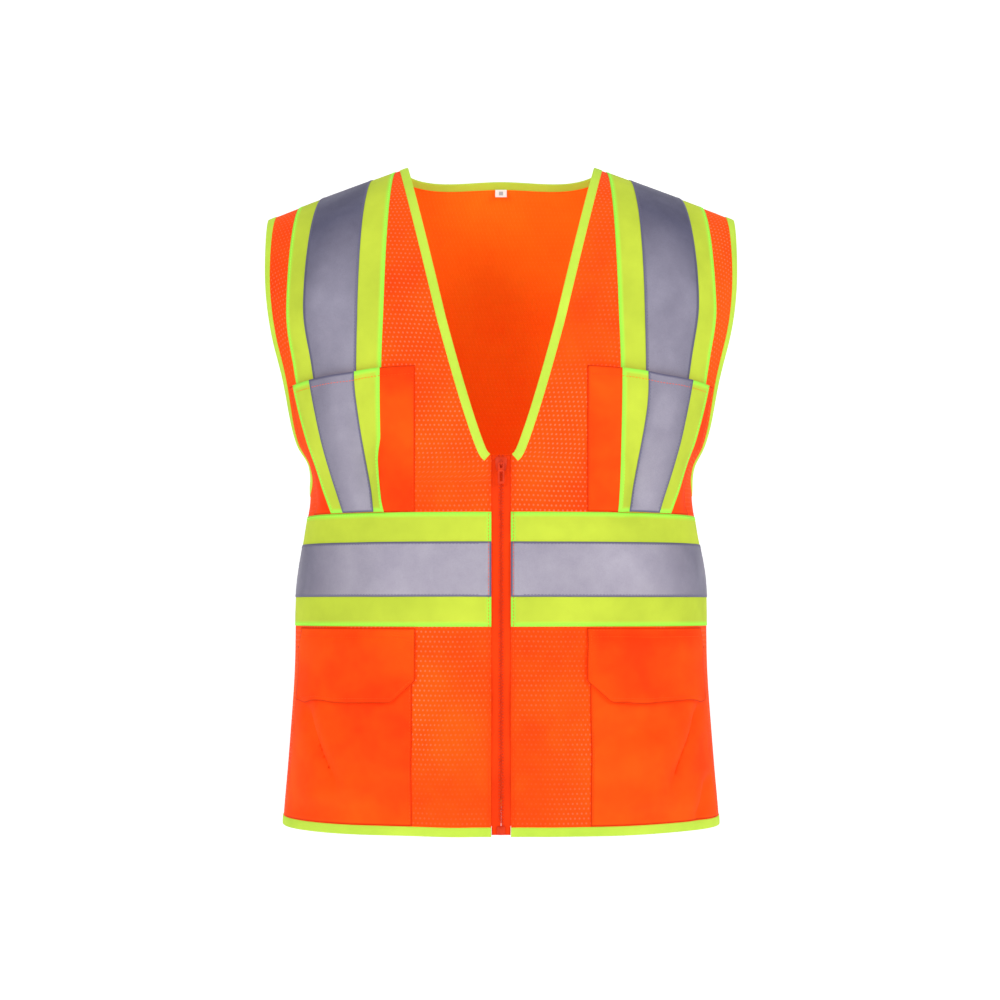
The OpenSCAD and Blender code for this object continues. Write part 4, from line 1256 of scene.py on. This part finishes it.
def zip_tapes():
    for sign, hand in ((1, "left"), (-1, "right")):
        z = np.linspace(HEM_Z + 1 * MM, ZIP_TOP - 0.5 * MM, 130)[:, None]
        wide = ease(HEM_Z + 9.3 * MM, HEM_Z + 9.6 * MM, z) * (
            1 - ease(ZIP_TOP - 5.4 * MM, ZIP_TOP - 5.1 * MM, z))
        reach = ZIP_END_REACH + (ZIP_TAPE_REACH - ZIP_END_REACH) * wide
        share = np.linspace(0, 1, 10)[None, :]
        x = sign * (ZIP_SLIT + (reach - ZIP_SLIT) * share)
        if sign < 0:
            x = x[:, ::-1]
        grids = [np.stack(np.broadcast_arrays(x, CHAIN_Y + side * 0.28 * MM, z), -1)
                 for side in (-1, 1)]
        uv = grids[0][..., ::2]
        name = f"{hand}_zip_cloth"
        SHEETS[name] = grids[0].shape[:2]
        edge = edge_distances(grids[0])
        obj = new_object(name, np.concatenate(grids), sheet_faces(*grids[0].shape[:2]),
                         np.concatenate([uv, uv]), np.concatenate([edge, edge]))
        sew(obj, ZIP_CLOTH, "root", f"{hand}_zip_tape", "zip_tape")


def zip_chain():
    count = int((SLIDER_Z - 1 * MM - CHAIN_FOOT) / TOOTH_PITCH)
    for sign, hand in ((1, "left"), (-1, "right")):
        lift = 0.55 * MM + (TOOTH_PITCH / 2 if hand == "right" else 0)
        head = [soft_block((sign * 1.0 * MM, CHAIN_Y, CHAIN_FOOT + lift + k * TOOTH_PITCH),
                           (1.6 * MM, 1.3 * MM, 0.55 * MM), 0.5, 5, 8) for k in range(count)]
        assemble(f"{hand}_teeth_row", head, "root", f"{hand}_zip_teeth")
    stops = [soft_block((s * 1.7 * MM, CHAIN_Y, ZIP_TOP - 0.7 * MM),
                        (0.8 * MM, 1.3 * MM, 0.7 * MM)) for s in (-1, 1)]
    assemble("top_stops", stops, "root", "zip_top_stops")
    foot = [soft_block((0, CHAIN_Y, HEM_Z + 5 * MM), (4 * MM, 2 * MM, 4 * MM), 0.3, 9, 20),
            soft_block((0, CHAIN_Y - 1.4 * MM, HEM_Z + 5 * MM), (2.6 * MM, 0.9 * MM, 2.8 * MM))]
    assemble("retainer_box", foot, "root", "zip_box")
    pin = np.array([(1.5 * MM, CHAIN_Y, HEM_Z + z * MM) for z in (2.2, 2.6, 6, 10.4, 11.2)])
    assemble("insertion_pin", [tube(pin, 0.9 * MM)], "root", "zip_pin")


def zip_runner():
    z = SLIDER_Z
    half = [(4.2, -6.5), (5.2, -1.5), (5.5, 1.6), (5.5, 4.4), (5.0, 5.6), (3.9, 6.5)]
    shape = np.array([(x * MM, z + h * MM) for x, h in half[::-1]]
                     + [(-x * MM, z + h * MM) for x, h in half])
    rail = np.array([(x * MM, z + h * MM) for x, h in half[::-1]]
                    + [(3.4 * MM, z - 6.5 * MM), (3.4 * MM, z + 6.5 * MM)])
    parts = [slab(shape, CHAIN_Y - 2.9 * MM, CHAIN_Y - 1.6 * MM, 0.35 * MM),
             slab(shape, CHAIN_Y + 1.6 * MM, CHAIN_Y + 2.9 * MM, 0.35 * MM)]
    for near, far in ((-1.65, -0.75), (0.75, 1.65)):
        for sign in (1, -1):
            points = rail * (1, 1) if sign > 0 else (rail * (-1, 1))[::-1]
            parts.append(slab(points, CHAIN_Y + near * MM, CHAIN_Y + far * MM, 0.1 * MM))
    wedge = rounded_box(-1.1 * MM, 1.1 * MM, z + 2 * MM, z + 6 * MM, 0.6 * MM)
    parts.append(slab(wedge, CHAIN_Y - 1.7 * MM, CHAIN_Y + 1.7 * MM, 0.1 * MM))
    turn = np.radians(np.linspace(-90, 90, 15))
    arch = np.stack([0 * turn, CHAIN_Y - 2.6 * MM - 3.8 * MM * np.cos(turn),
                     z + 2.1 * MM * np.sin(turn)], -1)
    parts.append(tube(arch, 0.7 * MM))
    assemble("slider_body", parts, "slider", "zip_slider")
    bar = np.stack([np.linspace(-2.9, 2.9, 7) * MM, np.full(7, CROSSBAR_Y), np.full(7, z)], -1)
    near, far = CROSSBAR_Y - 0.85 * MM, CROSSBAR_Y + 0.85 * MM
    head = ring_slab(rounded_box(-3.2 * MM, 3.2 * MM, z - 5.6 * MM, z + 0.9 * MM, 0.8 * MM),
                     rounded_box(-1.15 * MM, 1.15 * MM, z - 4.2 * MM, z - 0.2 * MM, 0.5 * MM),
                     near, far, 0.25 * MM)
    tab = ring_slab(rounded_box(-3.2 * MM, 3.2 * MM, z - 19 * MM, z - 5.5 * MM, 1.6 * MM),
                    rounded_box(-1.3 * MM, 1.3 * MM, z - 16.6 * MM, z - 7.6 * MM, 0.9 * MM),
                    near, far, 0.25 * MM)
    assemble("pull_tab", [tube(bar, 0.85 * MM), head, tab], "pull", "zip_pull")


zip_tapes()
zip_chain()
zip_runner()

# ---- size label ----

LABEL_T = 0.1 * MM
LABEL_BEND = 0.12 * MM


def size_label():
    """A strip folded double: down the wearer's side, round a half circle and up again."""
    low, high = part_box("size_label")
    front, foot = low[1] + 0.03 * MM + LABEL_T, low[2] + LABEL_BEND + LABEL_T
    turn = np.radians(np.linspace(0, 180, 9))
    down = np.linspace(high[2], foot, 12)
    path = np.concatenate([
        np.stack([0 * down + front + 2 * LABEL_BEND, down], -1)[:-1],
        np.stack([front + LABEL_BEND + LABEL_BEND * np.cos(turn),
                  foot - LABEL_BEND * np.sin(turn)], -1),
        np.stack([0 * down + front, down[::-1]], -1)[1:]])[::-1]
    along = np.gradient(path, axis=0)
    along /= np.linalg.norm(along, axis=1, keepdims=True)
    outwards = np.stack([-along[:, 1], along[:, 0]], -1)
    x = np.linspace(low[0], high[0], 16)[None, :]
    inner, outer = [np.stack(np.broadcast_arrays(x, layer[:, :1], layer[:, 1:]), -1)
                    for layer in (path, path + LABEL_T * outwards)]
    uv = np.stack([outer[..., 0] - low[0], outer[..., 2] - low[2]], -1)
    SHEETS["label_cloth"] = inner.shape[:2]
    obj = new_object("label_cloth", np.concatenate([outer, inner]),
                     sheet_faces(*inner.shape[:2]), np.concatenate([uv, uv]))
    sew(obj, LABEL_CLOTH, "label", "size_label", "label_fabric")


size_label()

# ---- stitching ----

STITCH_PITCH = 3.2 * MM
STITCH_HALF = 1.15 * MM
STITCH_R = 0.26 * MM


def stitch_row(side, angle, run, offset):
    """Lock stitches along a path: each is a short bead that rises in its middle and dips
    into the cloth at both ends."""
    side, angle, run, offset = [np.ravel(v) for v in np.broadcast_arrays(side, angle, run, offset)]
    path = on_either(side, angle, run, offset)
    outwards = on_either(side, angle, run, offset + MM) - path
    length = np.concatenate([[0], np.cumsum(np.linalg.norm(np.diff(path, axis=0), axis=1))])
    at = np.arange(STITCH_PITCH, length[-1] - STITCH_PITCH / 2, STITCH_PITCH)
    if len(at) == 0:
        return np.zeros((0, 5, 5, 3))

    def sample(distance, values):
        return np.stack([np.interp(distance, length, column) for column in values.T], -1)

    t = np.array([-1.0, -0.65, 0.0, 0.65, 1.0])
    places = at[:, None] + STITCH_HALF * t
    centre = sample(places.ravel(), path).reshape(-1, 5, 3)
    along = centre[:, -1:] - centre[:, :1]
    along = along / np.linalg.norm(along, axis=-1, keepdims=True)
    up = sample(at, outwards)[:, None, :]
    up = up / np.linalg.norm(up, axis=-1, keepdims=True)
    across = np.cross(up, along)
    rise = (0.22 * MM * (1 - t * t) - 0.12 * MM)[None, :, None]
    radius = (STITCH_R * np.array([0.4, 0.85, 1.0, 0.85, 0.4]))[None, :, None, None]
    turn = np.linspace(0, 2 * np.pi, 5, endpoint=False)[None, None, :, None]
    circle = np.cos(turn) * across[:, :, None] + np.sin(turn) * up[:, :, None]
    return (centre + rise * up)[:, :, None] + radius * circle


def stitching(name, rows, material, body, flap_hand=None):
    """All the stitches of one area as one object."""
    beads = np.concatenate(rows)
    count, rings, sides = beads.shape[:3]
    k = np.arange(rings * sides).reshape(rings, sides)
    skin = np.stack([k[:-1], np.roll(k[:-1], -1, 1), np.roll(k[1:], -1, 1), k[1:]], -1)
    base = np.arange(count)[:, None, None] * rings * sides
    quads = (base + skin.reshape(1, -1, 4)).reshape(-1, 4).tolist()
    caps = np.stack([k[0, ::-1], k[-1]])[None] + base
    mesh = bpy.data.meshes.new(name)
    mesh.from_pydata(beads.reshape(-1, 3).tolist(), [], quads + caps.reshape(-1, sides).tolist())
    mesh.polygons.foreach_set("use_smooth", np.ones(len(mesh.polygons), bool))
    uv = mesh.uv_layers.new(name="cloth")
    corner = np.zeros(len(mesh.loops), np.int32)
    mesh.loops.foreach_get("vertex_index", corner)
    uv.data.foreach_set("uv", beads.reshape(-1, 3)[corner][:, [0, 2]].astype(np.float32).ravel())
    obj = bpy.data.objects.new(name, mesh)
    bpy.context.scene.collection.objects.link(obj)
    obj.data.materials.append(material)
    if flap_hand:
        blend_on_flap(obj)
    else:
        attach(obj, body)


CONTRAST_TOP = CONTRAST_OFF + TAPE_T
SILVER_TOP = SILVER_OFF + TAPE_T
EDGE = 2.0 * MM


def line(low, high, step=2 * MM):
    return np.linspace(low, high, max(3, int(abs(high - low) / step)))


def band_stitches():
    share = line(0.02, 0.98, 0.008)
    lime, grey = [], []
    rows = ((BAND_H + EDGE, CONTRAST_TOP, lime), (BAND_TOP - EDGE, CONTRAST_TOP, lime),
            (BAND_H + BORDER_W + EDGE, SILVER_TOP, grey),
            (BAND_TOP - BORDER_W - EDGE, SILVER_TOP, grey))
    for height, top, store in rows:
        run = np.full(share.shape, height)
        for hand in ("left", "right"):
            store.append(stitch_row(FRONT, front_angles(hand, run, share), run, top))
        outer = outer_angle(BACK, run)
        store.append(stitch_row(BACK, outer + (180 - 2 * outer) * share, run, top))
    return lime, grey


def strap_stitches(lime, grey):
    for side, low in ((FRONT, CHEST_POCKET_H - 8 * MM), (BACK, BAND_TOP + 3 * MM)):
        run = line(low, SEAM_RUN - 2 * MM)
        for hand in ("left", "right"):
            for k, inset, top, store in ((0, EDGE, CONTRAST_TOP, lime), (3, -EDGE, CONTRAST_TOP, lime),
                                         (1, EDGE, SILVER_TOP, grey), (2, -EDGE, SILVER_TOP, grey)):
                angle = angle_at_x(side, edge_x(side, k, run) + inset, run)
                store.append(stitch_row(side, to_hand(hand, angle), run, top))
    run = line(CHEST_FOOT + 2 * MM, CHEST_POCKET_H - 2 * MM)
    for hand in ("left", "right"):
        for k, inset, lift, store in ((0, EDGE, CONTRAST_TOP, lime), (3, -EDGE, CONTRAST_TOP, lime),
                                      (1, EDGE, SILVER_TOP, grey), (2, -EDGE, SILVER_TOP, grey)):
            x = np.minimum(edge_x(FRONT, k, run), chest_outer_x(run) - POCKET_RIM) + inset
            store.append(stitch_row(FRONT, *chest_place(hand, run, x, lift)))


def pocket_stitches():
    orange = []
    for hand in ("left", "right"):
        run = np.full(60, CHEST_POCKET_H - 8 * MM)
        x = np.linspace(CHEST_POCKET_X + EDGE, chest_outer_x(run)[0] - EDGE, 60)
        edges = [edge_x(FRONT, k, run) for k in range(4)]
        lift = np.where((x > edges[1]) & (x < edges[2]), SILVER_TOP,
                        np.where((x > edges[0]) & (x < edges[3] - EDGE), CONTRAST_TOP, SHELL_T))
        orange.append(stitch_row(FRONT, *chest_place(hand, run, x, lift)))
        run = line(CHEST_FOOT + EDGE, CHEST_POCKET_H - EDGE)
        for x in (CHEST_POCKET_X + EDGE + 0 * run, chest_outer_x(run) - 1.5 * MM):
            orange.append(stitch_row(FRONT, *chest_place(hand, run, x, SHELL_T)))
        run = line(LOWER_FOOT + EDGE, LOWER_POCKET_H - EDGE)
        for x in (LOWER_POCKET_X + EDGE + 0 * run, lower_outer_x(run) - EDGE):
            orange.append(stitch_row(FRONT, to_hand(hand, angle_at_x(FRONT, x, run)), run,
                                     lower_off(run, x) + SHELL_T))
        run = line(10 * MM, V_BOTTOM_H - 9 * MM)
        on_band = (run > BAND_H) & (run < BAND_TOP)
        on_silver = (run > BAND_H + BORDER_W) & (run < BAND_TOP - BORDER_W)
        top = np.where(on_silver, SILVER_TOP, np.where(on_band, CONTRAST_TOP, SHELL_T))
        orange.append(stitch_row(FRONT, to_hand(hand, angle_at_x(
            FRONT, ZIP_REVEAL + 2.4 * MM + 0 * run, run)), run, top))
    return orange


def flap_stitches(hand):
    rows = []
    outer = lower_outer_x(FLAP_TOP_H) - FLAP_RIM
    x = np.linspace(FLAP_X + 3 * MM, outer - 3 * MM, 60)
    for drop in (2.2 * MM, 8.5 * MM):
        run = FLAP_TOP_H - drop + 0 * x
        rows.append(stitch_row(FRONT, to_hand(hand, angle_at_x(FRONT, x, run)), run,
                               flap_off(run, x) + SHELL_T))
    run = flap_bottom(x) + 4 * MM
    rows.append(stitch_row(FRONT, to_hand(hand, angle_at_x(FRONT, x, run)), run,
                           flap_off(run, x) + SHELL_T))
    run = line(FLAP_CORNER_H + 3 * MM, FLAP_TOP_H - 4 * MM)
    for edge in (FLAP_X + 3.5 * MM, outer - 3.5 * MM):
        x = edge + 0 * run
        rows.append(stitch_row(FRONT, to_hand(hand, angle_at_x(FRONT, x, run)), run,
                               flap_off(run, x) + SHELL_T))
    return rows


def all_stitching():
    lime, grey = band_stitches()
    strap_stitches(lime, grey)
    stitching("lime_stitching", lime, LIME_THREAD, "root")
    stitching("grey_stitching", grey, GREY_THREAD, "root")
    stitching("orange_stitching", pocket_stitches(), ORANGE_THREAD, "root")
    for hand in ("left", "right"):
        stitching(f"{hand}_flap_stitching", flap_stitches(hand), ORANGE_THREAD, None,
                  hand)


all_stitching()
